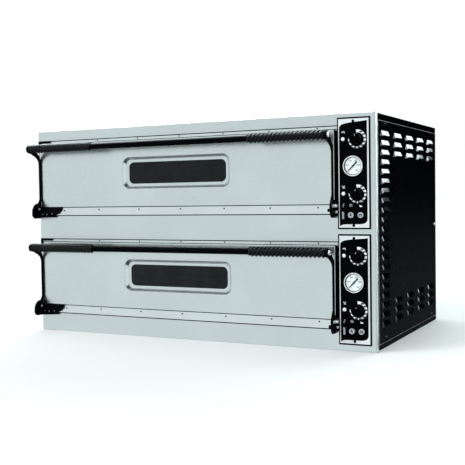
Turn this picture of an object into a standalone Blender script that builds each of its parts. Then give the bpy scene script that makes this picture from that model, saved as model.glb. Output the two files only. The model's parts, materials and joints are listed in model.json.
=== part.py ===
"""Worktop electric pizza oven with two decks, at rest with both doors shut.

Metres, +Z up. X runs along the front from left to right, and +Y goes back. The origin is the centre of the
cabinet's underside. Each deck is built by the same functions, once for each deck's floor height.
"""

import math

import bmesh
import bpy
from mathutils import Vector

# Driving dimensions of the cabinet. GAP is the clearance between pieces that touch.
WIDTH = 1.315
DEPTH = 0.775
HEIGHT = 0.745
DECK_PITCH = 0.364
DECKS = {"lower": 0.0, "upper": DECK_PITCH}

GAP = 0.0003
SHEET = 0.0015
SIDE_SHEET = 0.0018
FRONT = -DEPTH / 2
BACK = DEPTH / 2
LEFT = -WIDTH / 2
RIGHT = WIDTH / 2
BEHIND_FRONT = SHEET + GAP

# The right side's service cover is raised off its panel, with LOUVRE_ROOM outside it for its louvre hoods
LOUVRE_ROOM = 0.0060
RIGHT_SKIN = RIGHT - LOUVRE_ROOM
COVER_RAISED = 0.0015
COVER_THICK = 0.0025
SIDE_PANEL_THICK = 0.0020
SIDE_PANEL_X = RIGHT_SKIN - COVER_RAISED - SIDE_PANEL_THICK
COVER_MARGIN = {"front": 0.035, "back": 0.006, "low": 0.018, "high": 0.022}

REAR_SETBACK = 0.025
REAR_Y = BACK - REAR_SETBACK
LID_SETBACK = 0.001
PARTITION_X = (0.4925, 0.4940)
PARTITION_FRONT = 0.0340
GLAND_AT = (0.560, 0.070)
GLAND_BORE = 0.0050
GLAND_BODY = 0.0098
GLAND_HOLE = 0.0102
GLAND_NUT = 0.0145
GLAND_CAP = 0.0125

# Heights above a deck's own base
OPENING_LOW = 0.0665
SHELF_TOP = 0.0970
DOOR_LOW = 0.0975
DOOR_HIGH = 0.3320
OPENING_HIGH = 0.3435
PIVOT_Z = 0.0910
HANDLE_Z = 0.3130
CONTROL_Z = 0.1940
WINDOW_Z = 0.2165

# The door opening and the door, along X
OPENING_RIGHT = 0.5312
DOOR_LEFT = -0.6530
DOOR_RIGHT = 0.5200
RECESS = 0.0315
DOOR_BACK = 0.0280
DOOR_PROUD = 0.0015
DOOR_SHEET = 0.0012
DOOR_SEAM = 0.0100
LINER_INSET = 0.0030
CORE_INSET = 0.0050
JAMB = 0.0016

# The pressed window
WINDOW_X = -0.0645
WINDOW_OUTER = (0.431, 0.117)
WINDOW_GLASS = (0.389, 0.077)
WINDOW_DEPTH = 0.0140
GLASS_THICK = 0.005
WINDOW_RADIUS = 0.020
INNER_CORNER = 0.75
CORNER_STEPS = 4

# The handle and the arms that carry the door
PIVOT_PROUD = 0.018
HANDLE_PROUD = 0.062
ARM_SPREAD = {"left": (-0.6525, -0.6470), "right": (0.5125, 0.5180)}
BAR_RADIUS = 0.0102
GRIP_RADIUS = 0.0166
GRIP_SPAN = {"left": (-0.6464, -0.3710), "right": (0.2490, 0.5119)}
BAR_WALL = 0.0015
PIN_RADIUS = 0.0048
PIN_HOLE = 0.0054
EYE_RADIUS = 0.0105
ARM_HALF = 0.0040
BOSS_RADIUS = 0.0150
BRACKET_NEAR = {"left": -0.6535, "right": 0.5205}
BRACKET_PLATE = 0.0040
BRACKET_CLEARANCE = 0.0010
STOP_SIZE = 0.0100
STOP_AT = (-0.0460, 0.0750)

# The baking chamber
CHAMBER_X = (-0.600, 0.455)
CHAMBER_BACK = 0.720
CHAMBER_Z = (0.108, 0.285)
CHAMBER_WALL = 0.002
CHAMBER_FRONT = 0.0330
FLANGE_WIDE = 0.030
FLANGE_THICK = 0.0018
STONE_Z = (0.126, 0.141)
STONE_CLEARANCE = 0.003
LEDGE_WIDE = 0.014
LEDGE_THICK = 0.006
ELEMENT_RADIUS = 0.004
ELEMENT_Z = {"bottom": 0.1155, "top": 0.2730}
ELEMENT_LEGS = 6
ELEMENT_FIRST = 0.080
ELEMENT_PITCH = 0.116
ELEMENT_MARGIN = 0.025
INSULATION = 0.030

# The control panel
PANEL_X = 0.5835
PANEL_SIZE = (0.102, 0.341)
PANEL_FRONT = 0.0018
PANEL_CUTOUT = (0.077, 0.316)
KNOB_X = PANEL_X + 0.0125
KNOB_Z = {"ceiling": 0.3000, "floor": 0.1300}
GAUGE_X = PANEL_X - 0.0015
GAUGE_Z = 0.2165
SWITCH_Z = 0.0640
ROCKER_X = PANEL_X - 0.0345
BUTTON_X = {"start": PANEL_X - 0.0090, "stop": PANEL_X + 0.0225}
ROCKER_TILT = math.radians(10)
ROCKER_HALF = (0.0036, 0.0120)
KNOB_RADIUS = 0.0200
KNOB_SHAFT = 0.0030
GAUGE_RADIUS = 0.0318
GAUGE_BODY = 0.0290
NEEDLE_REST = math.radians(225)
NEEDLE_Y = (-0.0056, -0.0048)
BUTTON_RADIUS = 0.0090
HOLE_PLAY = 0.0005
MODULE_Y = (0.0245, 0.0270)

FINISHES = {
    "satin_steel": ((0.62, 0.66, 0.66), 0.30, 1.0),
    "bright_steel": ((0.80, 0.82, 0.82), 0.22, 1.0),
    "dull_steel": ((0.42, 0.43, 0.43), 0.45, 1.0),
    "black_paint": ((0.010, 0.012, 0.015), 0.18, 0.0),
    "black_casting": ((0.015, 0.015, 0.018), 0.35, 0.2),
    "black_plastic": ((0.020, 0.020, 0.022), 0.30, 0.0),
    "refractory": ((0.70, 0.62, 0.50), 0.85, 0.0),
    "mineral_wool": ((0.62, 0.56, 0.38), 0.95, 0.0),
    "dark_glass": ((0.020, 0.025, 0.030), 0.05, 0.0),
    "white_enamel": ((0.85, 0.87, 0.87), 0.35, 0.0),
    "clear_plastic": ((0.75, 0.78, 0.78), 0.15, 0.0),
    "panel_print": ((0.020, 0.022, 0.028), 0.35, 0.0),
}


# Shared modelling helpers


def at(depth):
    """World Y of a depth behind the cabinet's front plane."""
    return FRONT + depth


def clear_scene():
    for obj in list(bpy.data.objects):
        bpy.data.objects.remove(obj, do_unlink=True)


def give_finish(obj, finish):
    color, roughness, metallic = FINISHES[finish]
    material = bpy.data.materials.new(f"{obj.name}_{finish}")
    material.use_nodes = True
    shader = material.node_tree.nodes["Principled BSDF"]
    shader.inputs["Base Color"].default_value = (*color, 1.0)
    shader.inputs["Roughness"].default_value = roughness
    shader.inputs["Metallic"].default_value = metallic
    obj.data.materials.clear()
    obj.data.materials.append(material)


def add_object(name, mesh_builder):
    """One mesh object from a bmesh, with its faces turned outwards."""
    bmesh.ops.recalc_face_normals(mesh_builder, faces=mesh_builder.faces)
    mesh = bpy.data.meshes.new(name)
    mesh_builder.to_mesh(mesh)
    mesh_builder.free()
    obj = bpy.data.objects.new(name, mesh)
    bpy.context.scene.collection.objects.link(obj)
    return obj


def box(name, low, high):
    shape = bmesh.new()
    bmesh.ops.create_cube(shape, size=1.0)
    low, high = Vector(low), Vector(high)
    for vertex in shape.verts:
        vertex.co = Vector([low[i] + (vertex.co[i] + 0.5) * (high[i] - low[i]) for i in range(3)])
    return add_object(name, shape)


def placed(axis, first, second, along):
    """A point from two coordinates across an axis and one along it."""
    if axis == "X":
        return (along, first, second)
    if axis == "Y":
        return (first, along, second)
    return (first, second, along)


def prism(name, outline, axis, low, high):
    """A closed outline across an axis, extruded from low to high along it."""
    shape = bmesh.new()
    base = [shape.verts.new(placed(axis, a, b, low)) for a, b in outline]
    cap = shape.faces.new(base)
    swept = bmesh.ops.extrude_face_region(shape, geom=[cap])
    moved = [item for item in swept["geom"] if isinstance(item, bmesh.types.BMVert)]
    bmesh.ops.translate(shape, verts=moved, vec=placed(axis, 0, 0, high - low))
    return add_object(name, shape)


def turned(name, profile, axis, centre, segments=24, is_loop=False):
    """A profile of (radius, along) points turned about an axis through centre, a pair across that axis."""
    shape = bmesh.new()
    rings = []
    for radius, along in profile:
        ring = []
        for step in range(segments):
            angle = 2 * math.pi * step / segments
            first = centre[0] + radius * math.cos(angle)
            second = centre[1] + radius * math.sin(angle)
            ring.append(shape.verts.new(placed(axis, first, second, along)))
        rings.append(ring)
    pairs = list(zip(rings, rings[1:]))
    if is_loop:
        pairs.append((rings[-1], rings[0]))
    else:
        shape.faces.new(rings[0])
        shape.faces.new(rings[-1])
    for one, other in pairs:
        for step in range(segments):
            after = (step + 1) % segments
            shape.faces.new((one[step], one[after], other[after], other[step]))
    obj = add_object(name, shape)
    smooth_round(obj)
    return obj


def smooth_round(obj):
    obj.data.shade_smooth()
    obj.data.set_sharp_from_angle(angle=math.radians(35))


def combine(body, operation, tools):
    """Cuts the tools from a body, or joins them to it, and keeps the result as the body's mesh."""
    for tool in tools:
        tool.hide_render = True
        tool.display_type = "WIRE"
        modifier = body.modifiers.new(operation, "BOOLEAN")
        modifier.operation = operation
        modifier.solver = "EXACT"
        modifier.object = tool
    graph = bpy.context.evaluated_depsgraph_get()
    result = bpy.data.meshes.new_from_object(body.evaluated_get(graph))
    body.modifiers.clear()
    body.data = result
    for tool in tools:
        bpy.data.objects.remove(tool, do_unlink=True)
    return body


def cut(body, *tools):
    return combine(body, "DIFFERENCE", tools)


def join(body, *tools):
    return combine(body, "UNION", tools)


def arc(centre, radius, start, end, steps):
    """Points on an arc between two angles in degrees."""
    points = []
    for step in range(steps + 1):
        angle = math.radians(start + (end - start) * step / steps)
        points.append((centre[0] + radius * math.cos(angle), centre[1] + radius * math.sin(angle)))
    return points


def rounded(centre, size, radius, steps=CORNER_STEPS):
    """The outline of a rectangle with round corners."""
    half_wide = size[0] / 2 - radius
    half_high = size[1] / 2 - radius
    outline = []
    for turn, (right, up) in enumerate(((1, 1), (-1, 1), (-1, -1), (1, -1))):
        corner = (centre[0] + right * half_wide, centre[1] + up * half_high)
        outline += arc(corner, radius, 90 * turn, 90 * turn + 90, steps)
    return outline


def stroke(line, cap_steps=8):
    """The outline of a bar whose centre line is given as (a, b, half width) points, with round ends."""
    sides = []
    for index, (a, b, half) in enumerate(line):
        before = line[max(index - 1, 0)]
        after = line[min(index + 1, len(line) - 1)]
        along = Vector((after[0] - before[0], after[1] - before[1])).normalized()
        sides.append((Vector((a, b)), Vector((-along.y, along.x)), half))
    first, last = sides[0], sides[-1]
    start = math.degrees(math.atan2(first[1].y, first[1].x))
    end = math.degrees(math.atan2(-last[1].y, -last[1].x))
    outline = arc(first[0], first[2], start, start + 180, cap_steps)
    outline += [tuple(point - normal * half) for point, normal, half in sides[1:-1]]
    outline += arc(last[0], last[2], end, end + 180, cap_steps)
    outline += [tuple(point + normal * half) for point, normal, half in reversed(sides[1:-1])]
    return outline


def bend(start, start_pull, end_pull, end, steps):
    """Points along a cubic curve, its two ends included."""
    points = []
    for step in range(steps + 1):
        t = step / steps
        weights = ((1 - t) ** 3, 3 * t * (1 - t) ** 2, 3 * t * t * (1 - t), t**3)
        corners = (start, start_pull, end_pull, end)
        points.append(tuple(sum(w * c[i] for w, c in zip(weights, corners)) for i in range(2)))
    return points


def pivot(name, point):
    """An empty on a joint's axis, for the pieces that turn about it."""
    empty = bpy.data.objects.new(name, None)
    empty.location = point
    empty.empty_display_size = 0.05
    bpy.context.scene.collection.objects.link(empty)
    return empty


def carry(parent, *pieces):
    """Parents pieces to an empty and leaves them where they stand."""
    for piece in pieces:
        piece.parent = parent
        piece.location = piece.location - parent.location


def recentre(obj, point):
    """Moves an object's origin to a point on its joint's axis."""
    for vertex in obj.data.vertices:
        vertex.co = vertex.co - Vector(point)
    obj.location = point


# Cabinet


def front_frame():
    """The fascia: three bands and the column that holds the control panels, as one sheet."""
    frame = box("front_frame", (LEFT, at(0), 0), (RIGHT, at(SHEET), HEIGHT))
    through = 0.01
    half_wide, half_high = PANEL_CUTOUT[0] / 2, PANEL_CUTOUT[1] / 2
    slots = []
    returns = []
    for base in DECKS.values():
        low = (LEFT - through, at(-through), base + OPENING_LOW)
        slots.append(box("slot", low, (OPENING_RIGHT, at(through), base + OPENING_HIGH)))
        middle = base + CONTROL_Z
        low = (PANEL_X - half_wide, at(-through), middle - half_high)
        slots.append(box("slot", low, (PANEL_X + half_wide, at(through), middle + half_high)))
        overlap = 0.004
        low = (OPENING_RIGHT + GAP, at(GAP), base + OPENING_LOW - overlap)
        high = (OPENING_RIGHT + JAMB, at(RECESS), base + OPENING_HIGH + overlap)
        returns.append(box("return", low, high))
    cut(frame, *slots)
    join(frame, *returns)
    give_finish(frame, "satin_steel")


def side_panels():
    """The plain left side, and the right side with its raised service cover."""
    left = box("left_side_panel", (LEFT, at(BEHIND_FRONT), 0), (LEFT + SIDE_SHEET, BACK, HEIGHT))
    give_finish(left, "black_paint")
    outside = SIDE_PANEL_X + SIDE_PANEL_THICK
    right = box("right_side_panel", (SIDE_PANEL_X, at(BEHIND_FRONT), 0), (outside, BACK, HEIGHT))
    cover = box(
        "cover",
        (RIGHT_SKIN - COVER_THICK, at(COVER_MARGIN["front"]), COVER_MARGIN["low"]),
        (RIGHT_SKIN, BACK - COVER_MARGIN["back"], HEIGHT - COVER_MARGIN["high"]),
    )
    join(right, cover)
    give_finish(right, "black_paint")


def flat_panels():
    """The top, the base, the rear and the wall between the chambers and the controls."""
    left = LEFT + SIDE_SHEET + GAP
    right = SIDE_PANEL_X - GAP
    front, back = at(BEHIND_FRONT), BACK - LID_SETBACK
    top = box("top_panel", (left, front, HEIGHT - SHEET), (right, back, HEIGHT))
    base = box("base_panel", (left, front, 0), (right, back, SHEET))
    low, high = SHEET + GAP, HEIGHT - SHEET - GAP
    rear = box("rear_panel", (left, REAR_Y - SHEET, low), (right, REAR_Y, high))
    hole = [(GLAND_HOLE, REAR_Y - 2 * SHEET), (GLAND_HOLE, REAR_Y + SHEET)]
    cut(rear, turned("hole", hole, "Y", GLAND_AT, 16))
    near, far = PARTITION_X
    wall = box("partition_wall", (near, at(PARTITION_FRONT), low), (far, REAR_Y - SHEET - GAP, high))
    for panel in (top, base, rear):
        give_finish(panel, "black_paint")
    give_finish(wall, "dull_steel")


def cable_gland():
    """The mains inlet gland, low on the rear panel, with its through bore."""
    nut = REAR_Y + 0.007
    cap = nut + 0.010
    mouth = cap + 0.005
    profile = [
        (GLAND_BORE, REAR_Y - 0.010),
        (GLAND_BODY, REAR_Y - 0.010),
        (GLAND_BODY, REAR_Y + GAP),
        (GLAND_NUT, REAR_Y + GAP),
        (GLAND_NUT, nut),
        (GLAND_CAP, nut + 0.001),
        (GLAND_CAP, cap),
        (GLAND_BORE + 0.003, mouth),
        (GLAND_BORE, mouth),
    ]
    gland = turned("cable_gland", profile, "Y", GLAND_AT, 16, is_loop=True)
    give_finish(gland, "black_plastic")


# Baking chambers


def chamber(deck, base):
    """A steel muffle, open at the front, with a flange there and ledges for the stone."""
    low, high = base + CHAMBER_Z[0], base + CHAMBER_Z[1]
    left, right = CHAMBER_X
    wall = CHAMBER_WALL
    shell = box(
        f"{deck}_chamber",
        (left - wall, at(CHAMBER_FRONT), low - wall),
        (right + wall, at(CHAMBER_BACK + wall), high + wall),
    )
    flange_back = CHAMBER_FRONT + 0.0008
    flange = box(
        "flange",
        (left - FLANGE_WIDE, at(flange_back - FLANGE_THICK), low - FLANGE_WIDE),
        (right + FLANGE_WIDE, at(flange_back), high + FLANGE_WIDE),
    )
    join(shell, flange)
    cut(shell, box("hollow", (left, at(0), low), (right, at(CHAMBER_BACK), high)))
    ledge_high = base + STONE_Z[0] - GAP
    ledge_low = ledge_high - LEDGE_THICK
    overlap = 0.001
    ledges = []
    for near, far in ((left - overlap, left + LEDGE_WIDE), (right - LEDGE_WIDE, right + overlap)):
        low_corner = (near, at(CHAMBER_FRONT + 0.007), ledge_low)
        ledges.append(box("ledge", low_corner, (far, at(CHAMBER_BACK + overlap), ledge_high)))
    join(shell, *ledges)
    give_finish(shell, "dull_steel")


def stone(deck, base):
    slab = box(
        f"{deck}_baking_stone",
        (CHAMBER_X[0] + STONE_CLEARANCE, at(CHAMBER_FRONT + STONE_CLEARANCE), base + STONE_Z[0]),
        (CHAMBER_X[1] - STONE_CLEARANCE, at(CHAMBER_BACK - STONE_CLEARANCE), base + STONE_Z[1]),
    )
    give_finish(slab, "refractory")


def element(deck, base, level):
    """A tubular heater: long legs across the chamber, joined by half-circle bends."""
    turn = ELEMENT_PITCH / 2
    left_end = CHAMBER_X[0] + ELEMENT_MARGIN + turn
    right_end = CHAMBER_X[1] - ELEMENT_MARGIN - turn
    terminal = CHAMBER_X[1] - GAP
    points = [(terminal, at(ELEMENT_FIRST))]
    for leg in range(ELEMENT_LEGS - 1):
        y = at(ELEMENT_FIRST + ELEMENT_PITCH * (leg + 0.5))
        if leg % 2 == 0:
            points += arc((left_end, y), turn, 270, 90, 5)
        else:
            points += arc((right_end, y), turn, -90, 90, 5)
    points.append((terminal, at(ELEMENT_FIRST + ELEMENT_PITCH * (ELEMENT_LEGS - 1))))
    curve = bpy.data.curves.new(f"{deck}_{level}_element", "CURVE")
    curve.dimensions = "3D"
    curve.bevel_depth = ELEMENT_RADIUS
    curve.bevel_resolution = 1
    curve.use_fill_caps = True
    spline = curve.splines.new("POLY")
    spline.points.add(len(points) - 1)
    for point, (x, y) in zip(spline.points, points):
        point.co = (x, y, base + ELEMENT_Z[level], 1.0)
    obj = bpy.data.objects.new(f"{deck}_{level}_element", curve)
    bpy.context.scene.collection.objects.link(obj)
    give_finish(obj, "dull_steel")


def insulation(deck, base):
    """A mineral wool jacket around five sides of a chamber."""
    low, high = base + CHAMBER_Z[0], base + CHAMBER_Z[1]
    left, right = CHAMBER_X
    inner = CHAMBER_WALL + GAP
    outer = CHAMBER_WALL + INSULATION
    back = 0.025
    jacket = box(
        f"{deck}_insulation",
        (left - outer, at(CHAMBER_FRONT + 0.002), low - outer),
        (right + outer, at(CHAMBER_BACK + back), high + outer),
    )
    pocket = box(
        "pocket",
        (left - inner, at(0), low - inner),
        (right + inner, at(CHAMBER_BACK + inner), high + inner),
    )
    cut(jacket, pocket)
    give_finish(jacket, "mineral_wool")


def mouth_frame(deck, base):
    """The trim around a door's recess: a strip above, a threshold below and a ring behind the door."""
    left = LEFT + SIDE_SHEET + GAP
    right = OPENING_RIGHT - 0.0005
    low = base + OPENING_LOW + GAP
    high = base + OPENING_HIGH - GAP
    shelf_top = base + SHELF_TOP
    lintel = base + DOOR_HIGH + SHEET
    ring_back = RECESS - GAP
    ring_front = ring_back - SHEET
    ring = box(f"{deck}_mouth_frame", (left, at(ring_front), low), (right, at(ring_back), high))
    lip = 0.002
    mouth = box(
        "mouth",
        (CHAMBER_X[0] + lip, at(ring_front - lip), base + STONE_Z[1] - lip),
        (CHAMBER_X[1] - lip, at(ring_back + lip), base + CHAMBER_Z[1] - lip),
    )
    cut(ring, mouth)
    shelf_front, shelf_back = SHEET / 3, ring_back - SHEET / 3
    pieces = [
        box("strip", (left, at(0), low), (right, at(SHEET), shelf_top)),
        box("shelf", (left, at(shelf_front), shelf_top - SHEET), (right, at(shelf_back), shelf_top)),
        box("strip", (left, at(0), lintel), (right, at(SHEET), high)),
        box("shelf", (left, at(shelf_front), lintel), (right, at(shelf_back), lintel + SHEET)),
    ]
    join(ring, *pieces)
    give_finish(ring, "satin_steel")


# Doors


def window_hole(size, deep_low, deep_high, base):
    outline = rounded((WINDOW_X, base + WINDOW_Z), size, WINDOW_RADIUS * INNER_CORNER)
    return prism("window_hole", outline, "Y", at(deep_low), at(deep_high))


def pressed_window(base):
    """The dished surround that leads from the door's face in to the glass, as a ring of sheet."""
    centre = (WINDOW_X, base + WINDOW_Z)
    lap = 0.004
    outer = (WINDOW_OUTER[0] + lap, WINDOW_OUTER[1] + lap)
    outer_radius = WINDOW_RADIUS + lap / 2
    inner_radius = WINDOW_RADIUS * INNER_CORNER
    outer_behind = (outer[0] + 2 * DOOR_SHEET, outer[1] + 2 * DOOR_SHEET)
    inner_behind = (WINDOW_GLASS[0] + 2 * DOOR_SHEET, WINDOW_GLASS[1] + 2 * DOOR_SHEET)
    loops = (
        (outer, outer_radius, -DOOR_PROUD + GAP),
        (WINDOW_GLASS, inner_radius, WINDOW_DEPTH),
        (inner_behind, inner_radius + DOOR_SHEET, WINDOW_DEPTH),
        (outer_behind, outer_radius + DOOR_SHEET, -DOOR_PROUD + DOOR_SHEET - GAP),
    )
    shape = bmesh.new()
    rings = []
    for size, radius, deep in loops:
        points = rounded(centre, size, radius)
        rings.append([shape.verts.new((x, at(deep), z)) for x, z in points])
    for one, other in zip(rings, rings[1:] + rings[:1]):
        for step in range(len(one)):
            after = (step + 1) % len(one)
            shape.faces.new((one[step], one[after], other[after], other[step]))
    return add_object("pressed_window", shape)


def door_skin(deck, base):
    """The outer pan of a door, folded back at its four edges, with the dished window."""
    low, high = base + DOOR_LOW, base + DOOR_HIGH
    skin = box(
        f"{deck}_door_skin",
        (DOOR_LEFT, at(-DOOR_PROUD), low),
        (DOOR_RIGHT, at(DOOR_SEAM), high),
    )
    hollow = box(
        "hollow",
        (DOOR_LEFT + DOOR_SHEET, at(DOOR_SHEET - DOOR_PROUD), low + DOOR_SHEET),
        (DOOR_RIGHT - DOOR_SHEET, at(2 * DOOR_SEAM), high - DOOR_SHEET),
    )
    cut(skin, hollow, window_hole(WINDOW_OUTER, -DOOR_SEAM, DOOR_SEAM, base))
    join(skin, pressed_window(base))
    give_finish(skin, "satin_steel")
    return skin


def door_liner(deck, base):
    """The inner pan of a door, open towards the outer one."""
    seam = DOOR_SEAM + GAP
    left, right = DOOR_LEFT + LINER_INSET, DOOR_RIGHT - LINER_INSET
    low, high = base + DOOR_LOW + LINER_INSET, base + DOOR_HIGH - 2 * LINER_INSET
    liner = box(f"{deck}_door_liner", (left, at(seam), low), (right, at(DOOR_BACK), high))
    hollow = box(
        "hollow",
        (left + DOOR_SHEET, at(0), low + DOOR_SHEET),
        (right - DOOR_SHEET, at(DOOR_BACK - DOOR_SHEET), high - DOOR_SHEET),
    )
    cut(liner, hollow, window_hole(WINDOW_GLASS, 0, 2 * DOOR_BACK, base))
    give_finish(liner, "bright_steel")
    return liner


def door_core(deck, base):
    """The insulating slab between the two pans, with room for the window."""
    back = DOOR_BACK - DOOR_SHEET - GAP
    high = DOOR_HIGH - LINER_INSET - CORE_INSET
    core = box(
        f"{deck}_door_core",
        (DOOR_LEFT + CORE_INSET, at(0), base + DOOR_LOW + CORE_INSET),
        (DOOR_RIGHT - CORE_INSET, at(back), base + high),
    )
    margin = 0.012
    room = (WINDOW_OUTER[0] + margin, WINDOW_OUTER[1] + margin)
    cut(core, window_hole(room, -DOOR_BACK, 2 * DOOR_BACK, base))
    give_finish(core, "mineral_wool")
    return core


def door_glass(deck, base):
    lap = 0.014
    size = (WINDOW_GLASS[0] + 2 * lap, WINDOW_GLASS[1] + 2 * lap)
    outline = rounded((WINDOW_X, base + WINDOW_Z), size, WINDOW_RADIUS)
    front = WINDOW_DEPTH + GAP
    glass = prism(f"{deck}_door_glass", outline, "Y", at(front), at(front + GLASS_THICK))
    give_finish(glass, "dark_glass")
    return glass


def arm_outline(base):
    """The arm from its eye at the pivot, up against the door's face, and forward to the handle."""
    lean = DOOR_PROUD + GAP + ARM_HALF
    straight_from, straight_to = 0.1280, 0.2620
    line = [
        (-PIVOT_PROUD, PIVOT_Z, EYE_RADIUS),
        (-0.0150, 0.1060, 0.0075),
        (-lean, straight_from, ARM_HALF),
    ]
    corners = ((-lean, straight_to), (-lean, 0.2880), (-0.0380, 0.3010), (-HANDLE_PROUD, HANDLE_Z))
    curve = bend(*corners, 7)
    line += [(y, z, ARM_HALF + 0.0012 * step) for step, (y, z) in enumerate(curve[:-1])]
    line.append((*curve[-1], BOSS_RADIUS))
    return stroke([(FRONT + y, base + z, half_wide) for y, z, half_wide in line])


def door_arm(deck, side, base):
    """A flat arm with its pivot eye and a domed boss at the handle."""
    inner, outer = ARM_SPREAD[side]
    arm = prism(f"{deck}_{side}_arm", arm_outline(base), "X", inner, outer)
    eye = (at(-PIVOT_PROUD), base + PIVOT_Z)
    through = 0.01
    hole = [(PIN_HOLE, inner - through), (PIN_HOLE, outer + through)]
    cut(arm, turned("hole", hole, "X", eye, 16))
    outward = -1 if side == "left" else 1
    face = inner if side == "left" else outer
    dome = [
        (BOSS_RADIUS - 0.0005, face - outward * 0.0020),
        (BOSS_RADIUS - 0.0005, face + outward * 0.0015),
        (BOSS_RADIUS - 0.0030, face + outward * 0.0035),
        (BOSS_RADIUS - 0.0085, face + outward * 0.0045),
    ]
    join(arm, turned("dome", dome, "X", (at(-HANDLE_PROUD), base + HANDLE_Z), 16))
    give_finish(arm, "black_casting")
    return arm


def handle_bar(deck, base):
    inner = BAR_RADIUS - BAR_WALL
    low = ARM_SPREAD["left"][1] + GAP
    high = ARM_SPREAD["right"][0] - GAP
    profile = [(inner, low), (BAR_RADIUS, low), (BAR_RADIUS, high), (inner, high)]
    centre = (at(-HANDLE_PROUD), base + HANDLE_Z)
    bar = turned(f"{deck}_handle_bar", profile, "X", centre, 16, is_loop=True)
    give_finish(bar, "black_casting")
    return bar


def handle_grip(deck, side, base):
    """A sleeve on the bar at the true outer size of its spiral rib."""
    low, high = GRIP_SPAN[side]
    bore = BAR_RADIUS + GAP
    edge = 0.003
    profile = [
        (bore, low),
        (GRIP_RADIUS - edge, low),
        (GRIP_RADIUS, low + edge),
        (GRIP_RADIUS, high - edge),
        (GRIP_RADIUS - edge, high),
        (bore, high),
    ]
    centre = (at(-HANDLE_PROUD), base + HANDLE_Z)
    grip = turned(f"{deck}_{side}_grip", profile, "X", centre, 16, is_loop=True)
    give_finish(grip, "black_plastic")
    return grip


def nose_outline(base):
    """The side view of a hinge bracket: a foot on the front and a round nose ahead of it."""
    foot = 0.0020
    nose, nose_radius = (-0.0300, 0.0740), 0.0180
    outline = [(-foot, nose[1] - nose_radius)]
    outline += arc(nose, nose_radius, 270, 180, 6)
    outline += [(-0.0460, 0.0900), (-0.0370, 0.1050), (-0.0260, 0.1120)]
    outline += [(-0.0080, 0.1120), (-foot, 0.1060)]
    return [(FRONT + y, base + z) for y, z in outline]


def leaf_outline(side, edge):
    """The front view of the leaf that screws a bracket to the front, from the nose plate's edge."""
    if side == "left":
        low, high = 0.0670, 0.0965
        return [(edge, low), (-0.5900, low), (-0.5680, 0.0730), (-0.5560, 0.0850), (-0.5530, high), (edge, high)]
    low, high, right = 0.0620, 0.0900, 0.5300
    return [(edge, low), (right, low), (right, high), (edge, high)]


def hinge_bracket(deck, side, base):
    """A bracket on the front: a nose plate outside the arm, the pivot pin and the open door's stop."""
    inner, outer = ARM_SPREAD[side]
    near, bite = BRACKET_NEAR[side], 0.0010
    if side == "left":
        plate = (near - BRACKET_PLATE, near)
        pin = (near - bite, outer + BRACKET_CLEARANCE)
        lug = (near - bite, outer)
    else:
        plate = (near, near + BRACKET_PLATE)
        pin = (inner - BRACKET_CLEARANCE, near + bite)
        lug = (inner, near + bite)
    bracket = prism(f"{deck}_{side}_hinge_bracket", nose_outline(base), "X", *plate)
    leaf = [(x, base + z) for x, z in leaf_outline(side, plate[0])]
    pieces = [prism("leaf", leaf, "Y", at(-0.0060), at(-GAP))]
    eye = (at(-PIVOT_PROUD), base + PIVOT_Z)
    pieces.append(turned("pin", [(PIN_RADIUS, x) for x in pin], "X", eye, 16))
    stop_y, stop_z = STOP_AT
    low = (lug[0], at(stop_y), base + stop_z)
    pieces.append(box("stop", low, (lug[1], at(stop_y + STOP_SIZE), base + stop_z + STOP_SIZE)))
    if side == "left":
        corner = plate[0] + 0.001
        shelf = [(corner, at(-0.0440)), (corner, at(-0.0030)), (-0.5750, at(-0.0030))]
        pieces.append(prism("shelf", shelf, "Z", base + 0.0600, base + 0.0680))
    join(bracket, *pieces)
    give_finish(bracket, "black_casting")


def door(deck, base):
    pieces = [door_skin(deck, base), door_liner(deck, base), door_core(deck, base), door_glass(deck, base)]
    pieces += [door_arm(deck, side, base) for side in ARM_SPREAD]
    pieces += [handle_grip(deck, side, base) for side in GRIP_SPAN]
    pieces.append(handle_bar(deck, base))
    carry(pivot(f"{deck}_door_pivot", (0, at(-PIVOT_PROUD), base + PIVOT_Z)), *pieces)


# Controls


def round_hole(centre, radius, segments=16):
    """A cutter for a round hole through a panel."""
    reach = 0.02
    return turned("hole", [(radius, at(-reach)), (radius, at(reach))], "Y", centre, segments)


def control_panel(deck, base):
    """The plate that the knobs, the thermometer and the switches come through."""
    half_wide, half_high = PANEL_SIZE[0] / 2, PANEL_SIZE[1] / 2
    middle = base + CONTROL_Z
    plate = box(
        f"{deck}_control_panel",
        (PANEL_X - half_wide, at(-PANEL_FRONT), middle - half_high),
        (PANEL_X + half_wide, at(-GAP), middle + half_high),
    )
    holes = [round_hole((KNOB_X, base + z), KNOB_SHAFT * 1.5, 12) for z in KNOB_Z.values()]
    holes += [round_hole((x, base + SWITCH_Z), BUTTON_RADIUS + HOLE_PLAY) for x in BUTTON_X.values()]
    holes.append(round_hole((GAUGE_X, base + GAUGE_Z), GAUGE_BODY + 2 * HOLE_PLAY, 24))
    play = 0.0006
    wide, high = ROCKER_HALF[0] + play, ROCKER_HALF[1] + 2.5 * play
    low = (ROCKER_X - wide, at(-high), base + SWITCH_Z - high)
    holes.append(box("hole", low, (ROCKER_X + wide, at(high), base + SWITCH_Z + high)))
    cut(plate, *holes)
    give_finish(plate, "panel_print")


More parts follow.
